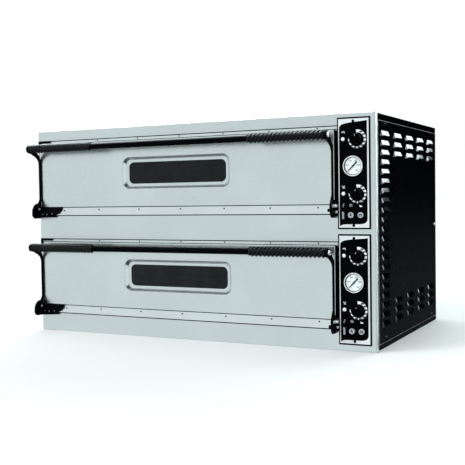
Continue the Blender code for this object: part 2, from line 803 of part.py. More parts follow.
def control_module(deck, base):
    """The rail behind a panel that carries two thermostats and the switch block."""
    near, far = MODULE_Y
    rail_half, can_half, block_half = 0.0120, 0.0200, 0.0160
    rail = box(
        f"{deck}_control_module",
        (KNOB_X - rail_half, at(near), base + SWITCH_Z - rail_half),
        (KNOB_X + rail_half, at(far), base + KNOB_Z["ceiling"] + can_half),
    )
    cans = []
    for height in KNOB_Z.values():
        low = (KNOB_X - can_half, at(far - GAP), base + height - can_half)
        cans.append(box("can", low, (KNOB_X + can_half, at(0.0600), base + height + can_half)))
    low = (PANEL_X - 0.0430, at(near - GAP), base + SWITCH_Z - block_half)
    cans.append(box("switches", low, (PANEL_X + 0.0380, at(0.0560), base + SWITCH_Z + block_half)))
    join(rail, *cans)
    give_finish(rail, "black_plastic")


def knob(deck, level, base):
    """A round knob with a finger bar, on the stub of its thermostat's shaft."""
    centre = (KNOB_X, base + KNOB_Z[level])
    back = at(-PANEL_FRONT - 0.0007)
    profile = [
        (KNOB_SHAFT, at(MODULE_Y[0] - 0.0005)),
        (KNOB_SHAFT, back),
        (KNOB_RADIUS - 0.0005, back),
        (KNOB_RADIUS, at(-0.0050)),
        (KNOB_RADIUS - 0.0028, at(-0.0062)),
        (KNOB_RADIUS - 0.0040, at(-0.0215)),
        (KNOB_RADIUS - 0.0060, at(-0.0235)),
    ]
    piece = turned(f"{deck}_{level}_knob", profile, "Y", centre, 24)
    half_wide, half_high = 0.0030, 0.0140
    grip = box(
        "grip",
        (centre[0] - half_wide, at(-0.0260), centre[1] - half_high),
        (centre[0] + half_wide, at(-0.0230), centre[1] + half_high),
    )
    join(piece, grip)
    recentre(piece, (centre[0], at(-0.0140), centre[1]))
    give_finish(piece, "black_plastic")


def thermometer(deck, base):
    """The case with its white dial, and the needle on the dial's spindle."""
    centre = (GAUGE_X, base + GAUGE_Z)
    flange = at(-PANEL_FRONT - GAP)
    profile = [
        (GAUGE_BODY, at(0.0220)),
        (GAUGE_BODY, flange),
        (GAUGE_RADIUS, flange),
        (GAUGE_RADIUS, at(-0.0068)),
        (GAUGE_RADIUS - 0.0008, at(-0.0078)),
        (GAUGE_RADIUS - 0.0026, at(-0.0078)),
        (GAUGE_RADIUS - 0.0032, at(-0.0030)),
    ]
    case = turned(f"{deck}_thermometer_case", profile, "Y", centre, 32)
    give_finish(case, "white_enamel")
    along = Vector((math.cos(NEEDLE_REST), math.sin(NEEDLE_REST)))
    across = Vector((-along.y, along.x))
    tail, tip = -0.0100, 0.0235
    tail_half, tip_half = 0.0012, 0.0003
    shape = [(tail, tail_half), (tail, -tail_half), (tip, -tip_half), (tip, tip_half)]
    outline = [tuple(Vector(centre) + along * a + across * b) for a, b in shape]
    needle = prism(f"{deck}_thermometer_needle", outline, "Y", at(NEEDLE_Y[0]), at(NEEDLE_Y[1]))
    hub = [(0.0028, at(NEEDLE_Y[0] - 0.0004)), (0.0028, at(-0.0033))]
    join(needle, turned("spindle", hub, "Y", centre, 10))
    recentre(needle, (centre[0], at(sum(NEEDLE_Y) / 2), centre[1]))
    give_finish(needle, "black_plastic")


def rocker(deck, base):
    """A narrow rocker switch, resting with its upper half out."""
    half_wide, half_high = ROCKER_HALF
    tip, middle, root = -0.0055, -0.0040, 0.0020
    side = [
        (tip, half_high),
        (middle, 0.0),
        (tip, -half_high),
        (root, 0.0015 - half_high),
        (3 * root, 0.0),
        (root, half_high - 0.0015),
    ]
    height = base + SWITCH_Z
    cos, sin = math.cos(ROCKER_TILT), math.sin(ROCKER_TILT)
    outline = [(FRONT + y * cos - z * sin, height + y * sin + z * cos) for y, z in side]
    piece = prism(f"{deck}_rocker_switch", outline, "X", ROCKER_X - half_wide, ROCKER_X + half_wide)
    recentre(piece, (ROCKER_X, at(0), height))
    give_finish(piece, "clear_plastic")


def push_button(deck, role, base):
    centre = (BUTTON_X[role], base + SWITCH_Z)
    stem = BUTTON_RADIUS - 0.0050
    profile = [
        (stem, at(0.0190)),
        (stem, at(0.0080)),
        (BUTTON_RADIUS, at(0.0080)),
        (BUTTON_RADIUS, at(-0.0062)),
        (BUTTON_RADIUS - 0.0012, at(-0.0074)),
        (stem, at(-0.0078)),
    ]
    piece = turned(f"{deck}_{role}_button", profile, "Y", centre, 16)
    recentre(piece, (centre[0], at(-0.0078), centre[1]))
    give_finish(piece, "clear_plastic")


def controls(deck, base):
    control_panel(deck, base)
    control_module(deck, base)
    thermometer(deck, base)
    for level in KNOB_Z:
        knob(deck, level, base)
    rocker(deck, base)
    for role in BUTTON_X:
        push_button(deck, role, base)


def build():
    clear_scene()
    front_frame()
    side_panels()
    flat_panels()
    cable_gland()
    for deck, base in DECKS.items():
        chamber(deck, base)
        stone(deck, base)
        insulation(deck, base)
        mouth_frame(deck, base)
        for level in ELEMENT_Z:
            element(deck, base, level)
        for side in ARM_SPREAD:
            hinge_bracket(deck, side, base)
        door(deck, base)
        controls(deck, base)


build()
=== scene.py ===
"""Looks of a two-deck worktop pizza oven: camera, studio light, finishes and fine pieces on its CAD frame.

Metres, +Z up. X runs along the front from left to right, +Y goes back, and the origin is the centre of the
underside. What both decks have is drawn at the lower deck's height, and its Form raises it to its own deck.
"""

import json
import math

import bmesh
import bpy
from mathutils import Matrix, Vector

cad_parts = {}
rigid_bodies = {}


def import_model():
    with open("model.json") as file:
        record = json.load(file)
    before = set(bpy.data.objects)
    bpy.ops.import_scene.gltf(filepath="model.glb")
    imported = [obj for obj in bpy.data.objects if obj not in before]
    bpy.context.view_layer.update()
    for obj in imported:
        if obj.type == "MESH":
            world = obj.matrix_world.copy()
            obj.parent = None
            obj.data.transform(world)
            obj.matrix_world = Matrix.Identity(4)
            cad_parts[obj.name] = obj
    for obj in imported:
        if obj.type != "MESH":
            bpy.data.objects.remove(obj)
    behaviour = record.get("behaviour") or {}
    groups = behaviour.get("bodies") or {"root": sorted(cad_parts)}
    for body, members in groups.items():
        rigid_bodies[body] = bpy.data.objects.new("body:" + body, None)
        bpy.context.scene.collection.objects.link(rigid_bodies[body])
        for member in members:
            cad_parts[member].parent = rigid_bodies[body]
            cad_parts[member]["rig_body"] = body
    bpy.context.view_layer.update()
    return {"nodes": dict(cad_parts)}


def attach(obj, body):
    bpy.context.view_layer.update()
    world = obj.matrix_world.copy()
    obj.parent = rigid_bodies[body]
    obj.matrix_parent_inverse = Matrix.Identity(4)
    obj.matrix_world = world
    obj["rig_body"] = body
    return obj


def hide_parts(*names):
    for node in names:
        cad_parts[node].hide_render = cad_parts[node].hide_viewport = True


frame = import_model()

# Places repeated from the CAD source
WIDTH, DEPTH, HEIGHT = 1.315, 0.775, 0.745
DECKS = {"lower": 0.0, "upper": 0.364}
FORWARDS = (0, -1, 0)
FRONT, BACK, LEFT, RIGHT = -DEPTH / 2, DEPTH / 2, -WIDTH / 2, WIDTH / 2
SHEET = 0.0015
COVER_X = 0.6515
HOOD_HIGH = 0.0186
REAR_Y = 0.3625
GLAND_AT = (0.560, 0.070)
OPENING_LOW, OPENING_HIGH, OPENING_RIGHT = 0.0665, 0.3435, 0.5312
SHELF_TOP = 0.0970
DOOR_X = (-0.6530, 0.5200)
DOOR_Z = (0.0975, 0.3320)
DOOR_PROUD = 0.0015
DOOR_SEAM = 0.0100
WINDOW_X, WINDOW_Z = -0.0645, 0.2165
WINDOW_OUTER = (0.431, 0.117)
PIVOT_PROUD, PIVOT_Z = 0.018, 0.0910
HANDLE_PROUD, HANDLE_Z = 0.062, 0.3130
ARM_X = {"left": (-0.6525, -0.6470), "right": (0.5125, 0.5180)}
BAR_RADIUS, GRIP_RADIUS = 0.0102, 0.0166
GRIP_SPAN = {"left": (-0.6464, -0.3710), "right": (0.2490, 0.5119)}
PANEL_X, PANEL_Z = 0.5835, 0.1940
PANEL_SIZE = (0.102, 0.341)
PANEL_FRONT = 0.0018
PANEL_CUTOUT = (0.077, 0.316)
KNOB_X = 0.5960
KNOB_Z = {"ceiling": 0.3000, "floor": 0.1300}
GAUGE_X, GAUGE_Z, GAUGE_RADIUS = 0.5820, 0.2165, 0.0318
SWITCH_Z = 0.0640
ROCKER_X = 0.5490
BUTTON_X = {"start": 0.5745, "stop": 0.6060}
NEEDLE_REST = 225
CHAMBER_X = (-0.600, 0.455)
ELEMENT_Z = {"bottom": 0.1155, "top": 0.2730}

# Depths of the print on the panel, of the marks on it and of the thermometer's dial
PRINT = -PANEL_FRONT - 0.00008
MARK = -PANEL_FRONT - 0.00016
DIAL = -0.0030

def at(depth):
    """World Y of a depth behind the cabinet's front plane."""
    return FRONT + depth


# Shape helpers


def polar(centre, radius, angle):
    """The point at a radius and an angle in degrees from a centre."""
    turn = math.radians(angle)
    return (centre[0] + radius * math.cos(turn), centre[1] + radius * math.sin(turn))


def arc(centre, radius, start, end, steps):
    """Points on an arc between two angles in degrees."""
    return [polar(centre, radius, start + (end - start) * step / steps) for step in range(steps + 1)]


def rounded(centre, size, radius, steps=6):
    """The outline of a rectangle with round corners."""
    outline = []
    for turn, (right, up) in enumerate(((1, 1), (-1, 1), (-1, -1), (1, -1))):
        corner = (centre[0] + right * (size[0] / 2 - radius), centre[1] + up * (size[1] / 2 - radius))
        outline += arc(corner, radius, 90 * turn, 90 * turn + 90, steps)
    return outline


def circle(centre, radius, steps=24):
    return arc(centre, radius, 0, 360 - 360 / steps, steps - 1)


def dome(radius, edge, rise, first=0, last=6, steps=6):
    """Points of a quarter round profile, which rises from an edge as its radius shrinks."""
    angles = [math.pi / 2 * step / steps for step in range(first, last + 1)]
    return [(radius * math.cos(a), edge + rise * math.sin(a)) for a in angles]


def placed(axis, first, second, along):
    """A point from two coordinates across an axis and one along it. D is depth behind the front plane."""
    if axis == "X":
        return (along, first, second)
    if axis == "Y":
        return (first, along, second)
    if axis == "D":
        return (first, at(along), second)
    return (first, second, along)


def drawn(outline, depth):
    """An outline of (x, z) points stood up at a depth."""
    return [placed("D", x, z, depth) for x, z in outline]


def linked(name, data):
    """A new object in the scene."""
    obj = bpy.data.objects.new(name, data)
    bpy.context.scene.collection.objects.link(obj)
    return obj


class Form:
    """The faces of one piece, gathered before it becomes an object."""

    def __init__(self, deck=None):
        self.shape = bmesh.new()
        self.lift = DECKS.get(deck, 0.0)

    def face(self, points, material=0):
        face = self.shape.faces.new([self.shape.verts.new(p) for p in points])
        face.material_index = material

    def skin(self, one, other, material=0, is_open=False):
        """Faces between two rings of vertices."""
        count = len(one)
        for step in range(count - 1 if is_open else count):
            after = (step + 1) % count
            face = self.shape.faces.new((one[step], one[after], other[after], other[step]))
            face.material_index = material

    def fill(self, loops, material=0):
        """Faces that fill the flat area between loops of vertices."""
        edges = []
        for loop in loops:
            for pair in zip(loop, loop[1:] + loop[:1]):
                edges.append(self.shape.edges.get(pair) or self.shape.edges.new(pair))
        filled = bmesh.ops.triangle_fill(self.shape, use_beauty=True, edges=edges)
        for item in filled["geom"]:
            if isinstance(item, bmesh.types.BMFace):
                item.material_index = material

    def loft(self, rings, material=0, caps=(True, True), is_loop=False, is_open=False):
        """Skins a row of rings that have the same number of points."""
        made = [[self.shape.verts.new(p) for p in ring] for ring in rings]
        for one, other in zip(made, made[1:]):
            self.skin(one, other, material, is_open)
        if is_loop:
            self.skin(made[-1], made[0], material)
        for ring, is_capped in zip((made[0], made[-1]), caps):
            if is_capped and not (is_loop or is_open):
                self.shape.faces.new(ring).material_index = material
        return made

    def prism(self, outline, axis, low, high, material=0):
        rings = [[placed(axis, a, b, along) for a, b in outline] for along in (low, high)]
        return self.loft(rings, material)

    def box(self, low, high):
        outline = [(low[0], low[1]), (high[0], low[1]), (high[0], high[1]), (low[0], high[1])]
        return self.prism(outline, "Z", low[2], high[2])

    def lathe(self, profile, axis, centre, segments=32, material=0, is_loop=False, caps=(True, True)):
        """A profile of (radius, along) points turned about an axis through centre."""
        rings = []
        for radius, along in profile:
            rings.append([placed(axis, a, b, along) for a, b in circle(centre, radius, segments)])
        return self.loft(rings, material, caps, is_loop)

    def flat(self, outline, holes, depth):
        """A face that stands at a depth, with holes in it."""
        loops = [[self.shape.verts.new(p) for p in drawn(loop, depth)] for loop in (outline, *holes)]
        self.fill(loops)

    def sweep(self, path, radius, sides=12):
        """A round tube along a path that lies flat."""
        rings = []
        for index, point in enumerate(path):
            before, after = path[max(index - 1, 0)], path[min(index + 1, len(path) - 1)]
            along = (Vector(after) - Vector(before)).normalized()
            side = Vector((-along.y, along.x, 0))
            ring = circle((0, 0), radius, sides)
            rings.append([Vector(point) + side * a + Vector((0, 0, b)) for a, b in ring])
        return self.loft(rings)

    def screw(self, centre, outward, radius, height, turn, material=0):
        """A pan head with a cross recess, standing on centre and facing outward."""
        outward = Vector(outward).normalized()
        side = outward.orthogonal().normalized()
        up = outward.cross(side)
        centre = Vector(centre)

        def put(first, second, along):
            return centre + side * first + up * second + outward * along

        rings = []
        for share, lift in ((1.0, 0.0), (0.97, 0.45), (0.86, 0.78), (0.66, 0.95), (0.54, 1.0)):
            rings.append([put(a, b, lift * height) for a, b in circle((0, 0), share * radius, 20)])
        made = self.loft(rings, material, caps=(True, False))
        long, short = 0.44 * radius, 0.11 * radius
        cross = []
        for step in range(4):
            cos, sin = polar((0, 0), 1, math.degrees(turn) + 90 * step)
            quarter = ((long, -short), (long, short), (short, short))
            cross += [(a * cos - b * sin, a * sin + b * cos) for a, b in quarter]
        rim = [self.shape.verts.new(put(a, b, height)) for a, b in cross]
        floor = [self.shape.verts.new(put(a * 0.7, b * 0.7, 0.35 * height)) for a, b in cross]
        self.fill((rim, made[-1]), material)
        self.skin(rim, floor, material)
        self.shape.faces.new(floor).material_index = material

    def mesh(self, name, finishes):
        """The gathered faces as a mesh, raised to their deck."""
        mesh = bpy.data.meshes.new(name)
        self.shape.to_mesh(mesh)
        self.shape.free()
        mesh.transform(Matrix.Translation((0, 0, self.lift)))
        for finish in finishes:
            mesh.materials.append(FINISHES[finish])
        return mesh

    def piece(
        self, name, body, slot, finishes=(), bevel=0.0, segments=2, smooth=40, replaces=(), is_turned=True
    ):
        """Turns the gathered faces into an object that rides on a body. Its slot also names its finish."""
        if is_turned:
            bmesh.ops.recalc_face_normals(self.shape, faces=self.shape.faces)
        mesh = self.mesh(name, finishes or [slot])
        obj = linked(name, mesh)
        mesh.shade_smooth()
        mesh.set_sharp_from_angle(angle=math.radians(smooth))
        if bevel:
            modifier = obj.modifiers.new("Edges", "BEVEL")
            modifier.width = bevel
            modifier.segments = segments
            modifier.limit_method = "ANGLE"
            modifier.angle_limit = math.radians(smooth)
            modifier.harden_normals = True
        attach(obj, body)
        if replaces:
            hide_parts(*replaces)
        return obj


def refine(node, finish, bevel, segments=2, slot=None):
    """A clean copy of a CAD node with rounded edges, which stands for it."""
    source = frame["nodes"][node]
    form = Form()
    form.shape.from_mesh(source.data)
    bmesh.ops.remove_doubles(form.shape, verts=form.shape.verts, dist=1e-5)
    for face in form.shape.faces:
        face.material_index = 0
    flat = math.radians(0.5)
    bmesh.ops.dissolve_limit(form.shape, angle_limit=flat, verts=form.shape.verts, edges=form.shape.edges)
    form.piece(f"{node}_fine", source["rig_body"], slot or finish, [finish], bevel, segments, 35, [node])


# Materials


FINISHES = {}


class Graph:
    """A node tree, and short ways to add to it. A value is a plain one, or a socket to link."""

    def __init__(self, tree):
        self.nodes, self.links = tree.nodes, tree.links

    def put(self, socket, value):
        if isinstance(value, bpy.types.NodeSocket):
            self.links.new(value, socket)
        else:
            socket.default_value = value

    def add(self, kind, values):
        node = self.nodes.new(f"ShaderNode{kind}")
        for key, value in values.items():
            self.put(node.inputs[key], value)
        return node

    def math(self, operation, one, other):
        node = self.add("Math", {0: one, 1: other})
        node.operation = operation
        return node.outputs[0]

    def blend(self, share, one, other):
        """A colour between two."""
        pair = [(*colour, 1.0) if isinstance(colour, tuple) else colour for colour in (one, other)]
        node = self.add("Mix", {0: share, 6: pair[0], 7: pair[1]})
        node.data_type = "RGBA"
        return node.outputs[2]


class Finish(Graph):
    """A principled material whose colour, roughness and relief come from noise in the object's own space."""

    def __init__(self, name, roughness, metallic=0.0, **values):
        material = bpy.data.materials.new(name)
        material.use_nodes = True
        super().__init__(material.node_tree)
        self.shader = self.nodes["Principled BSDF"]
        self.coordinates = self.nodes.new("ShaderNodeTexCoord").outputs["Object"]
        self.set(Roughness=roughness, Metallic=metallic, **values)
        FINISHES[name] = material

    def set(self, **values):
        for name, value in values.items():
            self.put(self.shader.inputs[name.replace("_", " ")], value)

    def noise(self, scale, detail, stretch=(1, 1, 1)):
        place = self.add("Mapping", {"Vector": self.coordinates, "Scale": [scale * s for s in stretch]})
        return self.add("TexNoise", {"Vector": place.outputs[0], "Scale": 1.0, "Detail": detail}).outputs[0]

    def spread(self, value, low=0.0, high=1.0, start=0.3, end=0.7):
        """Maps start..end of a value to low..high, and holds it there outside."""
        span = {"From Min": start, "From Max": end, "To Min": low, "To Max": high}
        return self.add("MapRange", {"Value": value, **span}).outputs[0]

    def worn(self):
        """A share that is high on convex edges."""
        edges = self.nodes.new("ShaderNodeNewGeometry").outputs["Pointiness"]
        return self.spread(edges, 0.0, 1.0, 0.53, 0.60)

    def relief(self, height, distance, strength):
        node = self.add("Bump", {"Height": height, "Distance": distance, "Strength": strength})
        self.set(Normal=node.outputs[0])


def scaled(colour, share):
    return tuple(c * share for c in colour)


def steel(name, colour, roughness, scratch=0.03):
    """Brushed sheet: faint clouds, and a fine grain along the front."""
    made = Finish(name, roughness, 1.0)
    clouds = made.spread(made.noise(5.0, 3.0))
    made.set(Base_Color=made.blend(clouds, scaled(colour, 0.97), scaled(colour, 1.03)))
    grain = made.noise(14.0, 4.0, (1, 90, 90))
    made.set(Roughness=made.spread(grain, roughness - scratch, roughness + scratch))
    made.relief(grain, 0.00004, 0.25)


def heated_steel(name, colour, tint, roughness):
    """Sheet that has been through the heat: straw and blue patches on dull steel."""
    made = Finish(name, roughness, 0.9)
    patches = made.spread(made.noise(7.0, 4.0), 0.0, 1.0, 0.35, 0.65)
    made.set(Base_Color=made.blend(patches, colour, tint))
    made.set(Roughness=made.spread(made.noise(40.0, 4.0), roughness - 0.08, roughness + 0.12))
    made.relief(made.noise(220.0, 2.0), 0.0001, 0.2)


def paint(name, colour, roughness, wear, peel=0.00005, specular=0.5):
    """Stoved enamel: near-even colour, faint orange peel, and another colour along worn edges."""
    made = Finish(name, roughness, Specular_IOR_Level=specular)
    body = made.blend(made.spread(made.noise(9.0, 4.0)), scaled(colour, 0.85), scaled(colour, 1.15))
    made.set(Base_Color=made.blend(made.worn(), body, wear))
    made.set(Roughness=made.spread(made.noise(25.0, 5.0), roughness * 0.88, roughness * 1.15))
    made.relief(made.noise(260.0, 2.0), peel, 0.5)


def casting(name, colour, roughness, wear, specular):
    """Painted casting with a sandy skin."""
    made = Finish(name, roughness, Specular_IOR_Level=specular)
    body = made.blend(made.spread(made.noise(30.0, 5.0)), scaled(colour, 0.7), scaled(colour, 1.3))
    made.set(Base_Color=made.blend(made.worn(), body, wear))
    made.set(Roughness=made.spread(made.noise(90.0, 4.0), roughness - 0.08, roughness + 0.12))
    made.relief(made.noise(420.0, 3.0), 0.00025, 0.5)


def moulded(name, colour, roughness, texture=0.00008, specular=0.5, shine=0.0):
    """Moulded plastic with a slight spark-eroded skin."""
    made = Finish(name, roughness, Specular_IOR_Level=specular)
    mottle = made.spread(made.noise(35.0, 3.0))
    made.set(Base_Color=made.blend(mottle, scaled(colour, 0.92), scaled(colour, 1.06)))
    made.set(Roughness=made.spread(made.noise(120.0, 3.0), roughness * 0.85, roughness * 1.15))
    made.relief(made.noise(900.0, 2.0), texture, 0.4)
    if shine:
        made.set(Coat_Weight=shine, Coat_Roughness=0.08)


def printed(name, colour, roughness=0.5, specular=0.5):
    """Screen print: near-even ink with small gaps in its cover."""
    made = Finish(name, roughness, Specular_IOR_Level=specular)
    mottle = made.spread(made.noise(400.0, 3.0), 0.0, 1.0, 0.25, 0.75)
    made.set(Base_Color=made.blend(mottle, scaled(colour, 0.90), colour))
    made.set(Roughness=made.spread(made.noise(200.0, 2.0), roughness - 0.06, roughness + 0.06))


def dark_glass(name):
    made = Finish(name, 0.04, Transmission_Weight=1.0, IOR=1.30)
    smears = made.spread(made.noise(10.0, 5.0))
    made.set(Base_Color=made.blend(smears, (0.10, 0.15, 0.20), (0.22, 0.29, 0.36)))
    made.set(Roughness=made.spread(made.noise(16.0, 5.0), 0.02, 0.07))


def clear_lens(name):
    made = Finish(name, 0.05, Alpha=0.03)
    made.set(Base_Color=made.blend(made.noise(60.0, 3.0), (0.90, 0.92, 0.93), (1.0, 1.0, 1.0)))


def refractory(name):
    """Fired clay, browned in patches and speckled."""
    made = Finish(name, 0.9)
    stain = made.spread(made.noise(9.0, 6.0), 0.0, 1.0, 0.4, 0.68)
    specks = made.spread(made.noise(500.0, 2.0), 0.0, 1.0, 0.55, 0.70)
    body = made.blend(stain, (0.60, 0.52, 0.42), (0.36, 0.27, 0.19))
    made.set(Base_Color=made.blend(specks, body, (0.28, 0.24, 0.20)))
    made.relief(made.noise(350.0, 5.0), 0.0006, 0.6)


def wool(name):
    """Mineral wool in thin layers."""
    made = Finish(name, 0.95)
    layers = made.spread(made.noise(60.0, 6.0, (1, 1, 9)))
    made.set(Base_Color=made.blend(layers, (0.42, 0.37, 0.20), (0.66, 0.60, 0.38)))
    made.relief(made.noise(260.0, 6.0), 0.0015, 0.7)


def floor_finish(name):
    made = Finish(name, 0.85, Specular_IOR_Level=0.1)
    made.set(Base_Color=made.blend(made.noise(1.5, 3.0), (0.90, 0.905, 0.91), (0.93, 0.93, 0.935)))


COOL = (0.87, 0.99, 1.0)
WHITE = (1.0, 1.0, 1.0)
STEEL = (0.700, 0.712, 0.712)
steel("fascia_steel", STEEL, 0.34)
steel("trim_steel", (0.77, 0.775, 0.772), 0.28)
steel("door_steel", STEEL, 0.27, 0.02)
steel("liner_steel", (0.60, 0.62, 0.61), 0.34)
steel("bright_steel", (0.86, 0.88, 0.88), 0.20, 0.04)
steel("zinc", (0.93, 0.94, 0.94), 0.48, 0.05)
paint("plate_white", (0.66, 0.69, 0.70), 0.35, (0.7, 0.7, 0.7), specular=0.2)
heated_steel("chamber_steel", (0.42, 0.41, 0.38), (0.30, 0.27, 0.24), 0.42)
heated_steel("element_steel", (0.20, 0.19, 0.19), (0.26, 0.20, 0.15), 0.55)
paint("case_paint", (0.0010, 0.0016, 0.0023), 0.075, (0.0022, 0.0030, 0.0042), 0.00001, 0.40)
casting("arm_casting", (0.0012, 0.0014, 0.0018), 0.30, (0.002, 0.002, 0.003), 0.02)
# Light grey paint for the cover's edge: a painted highlight, not the sheet's own colour.
paint("edge_highlight_paint", (0.16, 0.17, 0.18), 0.45, (0.24, 0.25, 0.26), specular=0.3)
paint("bar_steel", (0.0010, 0.0012, 0.0018), 0.30, (0.0015, 0.0018, 0.0025), specular=0.008)
moulded("grip_plastic", (0.0008, 0.0010, 0.0016), 0.15, 0.00003, 0.26)
moulded("knob_plastic", (0.0006, 0.0007, 0.0009), 0.30, specular=0.02)
moulded("inner_plastic", (0.010, 0.010, 0.011), 0.45, specular=0.2)
printed("panel_ink", (0.0006, 0.0008, 0.0010), 0.40, 0.02)
printed("white_ink", (0.90, 0.92, 0.93))
printed("black_ink", (0.004, 0.005, 0.007), specular=0.1)
printed("grey_ink", (0.48, 0.50, 0.52), specular=0.1)
moulded("dial_enamel", (0.80, 0.84, 0.84), 0.45, 0.00002, 0.2)
printed("needle_black", (0.003, 0.003, 0.004), 0.40, 0.1)
moulded("switch_plastic", (0.86, 0.87, 0.87), 0.28, 0.00003, shine=0.4)
moulded("rocker_plastic", (0.40, 0.42, 0.44), 0.35, 0.00003, 0.3)
moulded("button_plastic", (0.42, 0.45, 0.50), 0.35, 0.00003, 0.3)
moulded("lamp_lens", (0.92, 0.93, 0.93), 0.16, 0.00002, shine=0.8)
# Black rubber for the real seals and bezels, also used as painted shade in seams, gaps and the louvres' slots.
moulded("rubber_and_painted_shade", (0.0008, 0.0009, 0.0010), 0.60, specular=0.02)
dark_glass("door_glass")
clear_lens("clear_lens")
refractory("baking_stone")
wool("mineral_wool")
floor_finish("studio_floor")


# Camera, light and floor


# Each lobe: where it is, the angles at which it is full and gone, and its strength
LOBES = (
    ((-0.44, -0.895, -0.02), 42, 84, 0.92),
    ((0.93, -0.30, 0.05), 14, 34, 1.10),
    ((0.26, 0.935, -0.24), 4, 15, 0.04),
    ((-0.30, -0.45, 0.84), 14, 40, 0.35),
    ((-0.95, 0.10, 0.20), 15, 45, 0.10),
)
# Lobes that only glossy rays see
GLOSS_LOBES = (
    ((-0.66, 0.24, 0.71), 10, 17, 22.0),
    ((-0.50, 0.26, 0.82), 10, 17, 22.0),
    ((-0.34, 0.28, 0.90), 10, 17, 22.0),
    ((0.84, 0.32, 0.42), 11, 19, 24.0),
)
# A band that the louvre hoods mirror: a direction's coordinate, where it starts, where it is full, its strength
BAND = (("Z", 0.192, 0.210, 1.0), ("Y", 0.60, 0.80, 5.0))


def camera():
    data = bpy.data.cameras.new("camera")
    data.sensor_width = 36.0
    data.lens = 65.43
    data.clip_start, data.clip_end = 0.05, 200.0
    obj = linked("camera", data)
    turn = Matrix.Rotation(math.radians(27.10), 3, "Z")
    turn = turn @ Matrix.Rotation(math.radians(-2.41), 3, "X")
    turn = turn @ Matrix.Rotation(math.radians(0.88), 3, "Y")
    right, forward, up = turn.col[0], turn.col[1], turn.col[2]
    aim = Matrix((right, up, -forward)).transposed().to_4x4()
    obj.matrix_world = Matrix.Translation((1.4445, -2.9029, 0.4902)) @ aim
    bpy.context.scene.camera = obj


def world():
    """White to the camera. The steel and the paint mirror soft lights, of which some show in gloss only."""
    made = bpy.data.worlds.new("studio")
    bpy.context.scene.world = made
    made.use_nodes = True
    graph = Graph(made.node_tree)
    direction = graph.nodes.new("ShaderNodeTexCoord").outputs["Generated"]
    path = graph.nodes.new("ShaderNodeLightPath").outputs

    def fade(value, low, high, strength):
        """Rises smoothly from nothing at low to its strength at high."""
        node = graph.add("MapRange", {"Value": value, "From Min": low, "From Max": high, "To Max": strength})
        node.interpolation_type = "SMOOTHSTEP"
        return node.outputs[0]

    def total(lobes):
        """The light of several lobes, added up."""
        light = 0.0
        for aim, inner, outer, strength in lobes:
            dot = graph.add("VectorMath", {0: direction, 1: Vector(aim).normalized()})
            dot.operation = "DOT_PRODUCT"
            low, high = math.cos(math.radians(outer)), math.cos(math.radians(inner))
            light = graph.math("ADD", light, fade(dot.outputs["Value"], low, high, strength))
        return light

    split = graph.add("SeparateXYZ", {0: direction}).outputs
    band = [fade(split[axis], low, high, strength) for axis, low, high, strength in BAND]
    in_gloss = graph.math("MULTIPLY", total(GLOSS_LOBES), path["Is Glossy Ray"])
    light = graph.math("ADD", total(LOBES), in_gloss)
    light = graph.math("ADD", light, graph.math("MULTIPLY", band[0], band[1]))
    seen = graph.add("Mix", {0: path["Is Camera Ray"], 2: light, 3: 1.0})
    background = graph.nodes["Background"].inputs
    graph.put(background["Strength"], seen.outputs[0])
    graph.put(background["Color"], graph.blend(path["Is Camera Ray"], COOL, WHITE))


def lights():
    """A wide soft sun overhead and a soft key at the front left. Neither shows in the mirrors."""
    sun = linked("overhead", bpy.data.lights.new("overhead", "SUN"))
    sun.data.energy = 1.5
    sun.data.angle = math.radians(100)
    sun.rotation_euler = (math.radians(20), math.radians(-12), 0)
    key = linked("key", bpy.data.lights.new("key", "AREA"))
    key.data.shape = "RECTANGLE"
    key.data.size, key.data.size_y = 1.6, 1.6
    key.data.energy = 60
    key.location = (-2.6, -3.4, 2.9)
    target = Vector((0, -0.3, 0.4))
    key.rotation_euler = (target - key.location).to_track_quat("-Z", "Y").to_euler()
    key.visible_camera = False
    for light in (sun, key):
        light.visible_glossy = False


def floor():
    """A wide plain floor, which the mirrors don't show."""
    form = Form()
    reach = 60.0
    form.face([(-reach, -reach, 0), (reach, -reach, 0), (reach, reach, 0), (-reach, reach, 0)])
    obj = linked("studio_floor", form.mesh("studio_floor", ["studio_floor"]))
    obj.location.z = -0.0002
    obj.visible_glossy = False


# Cabinet


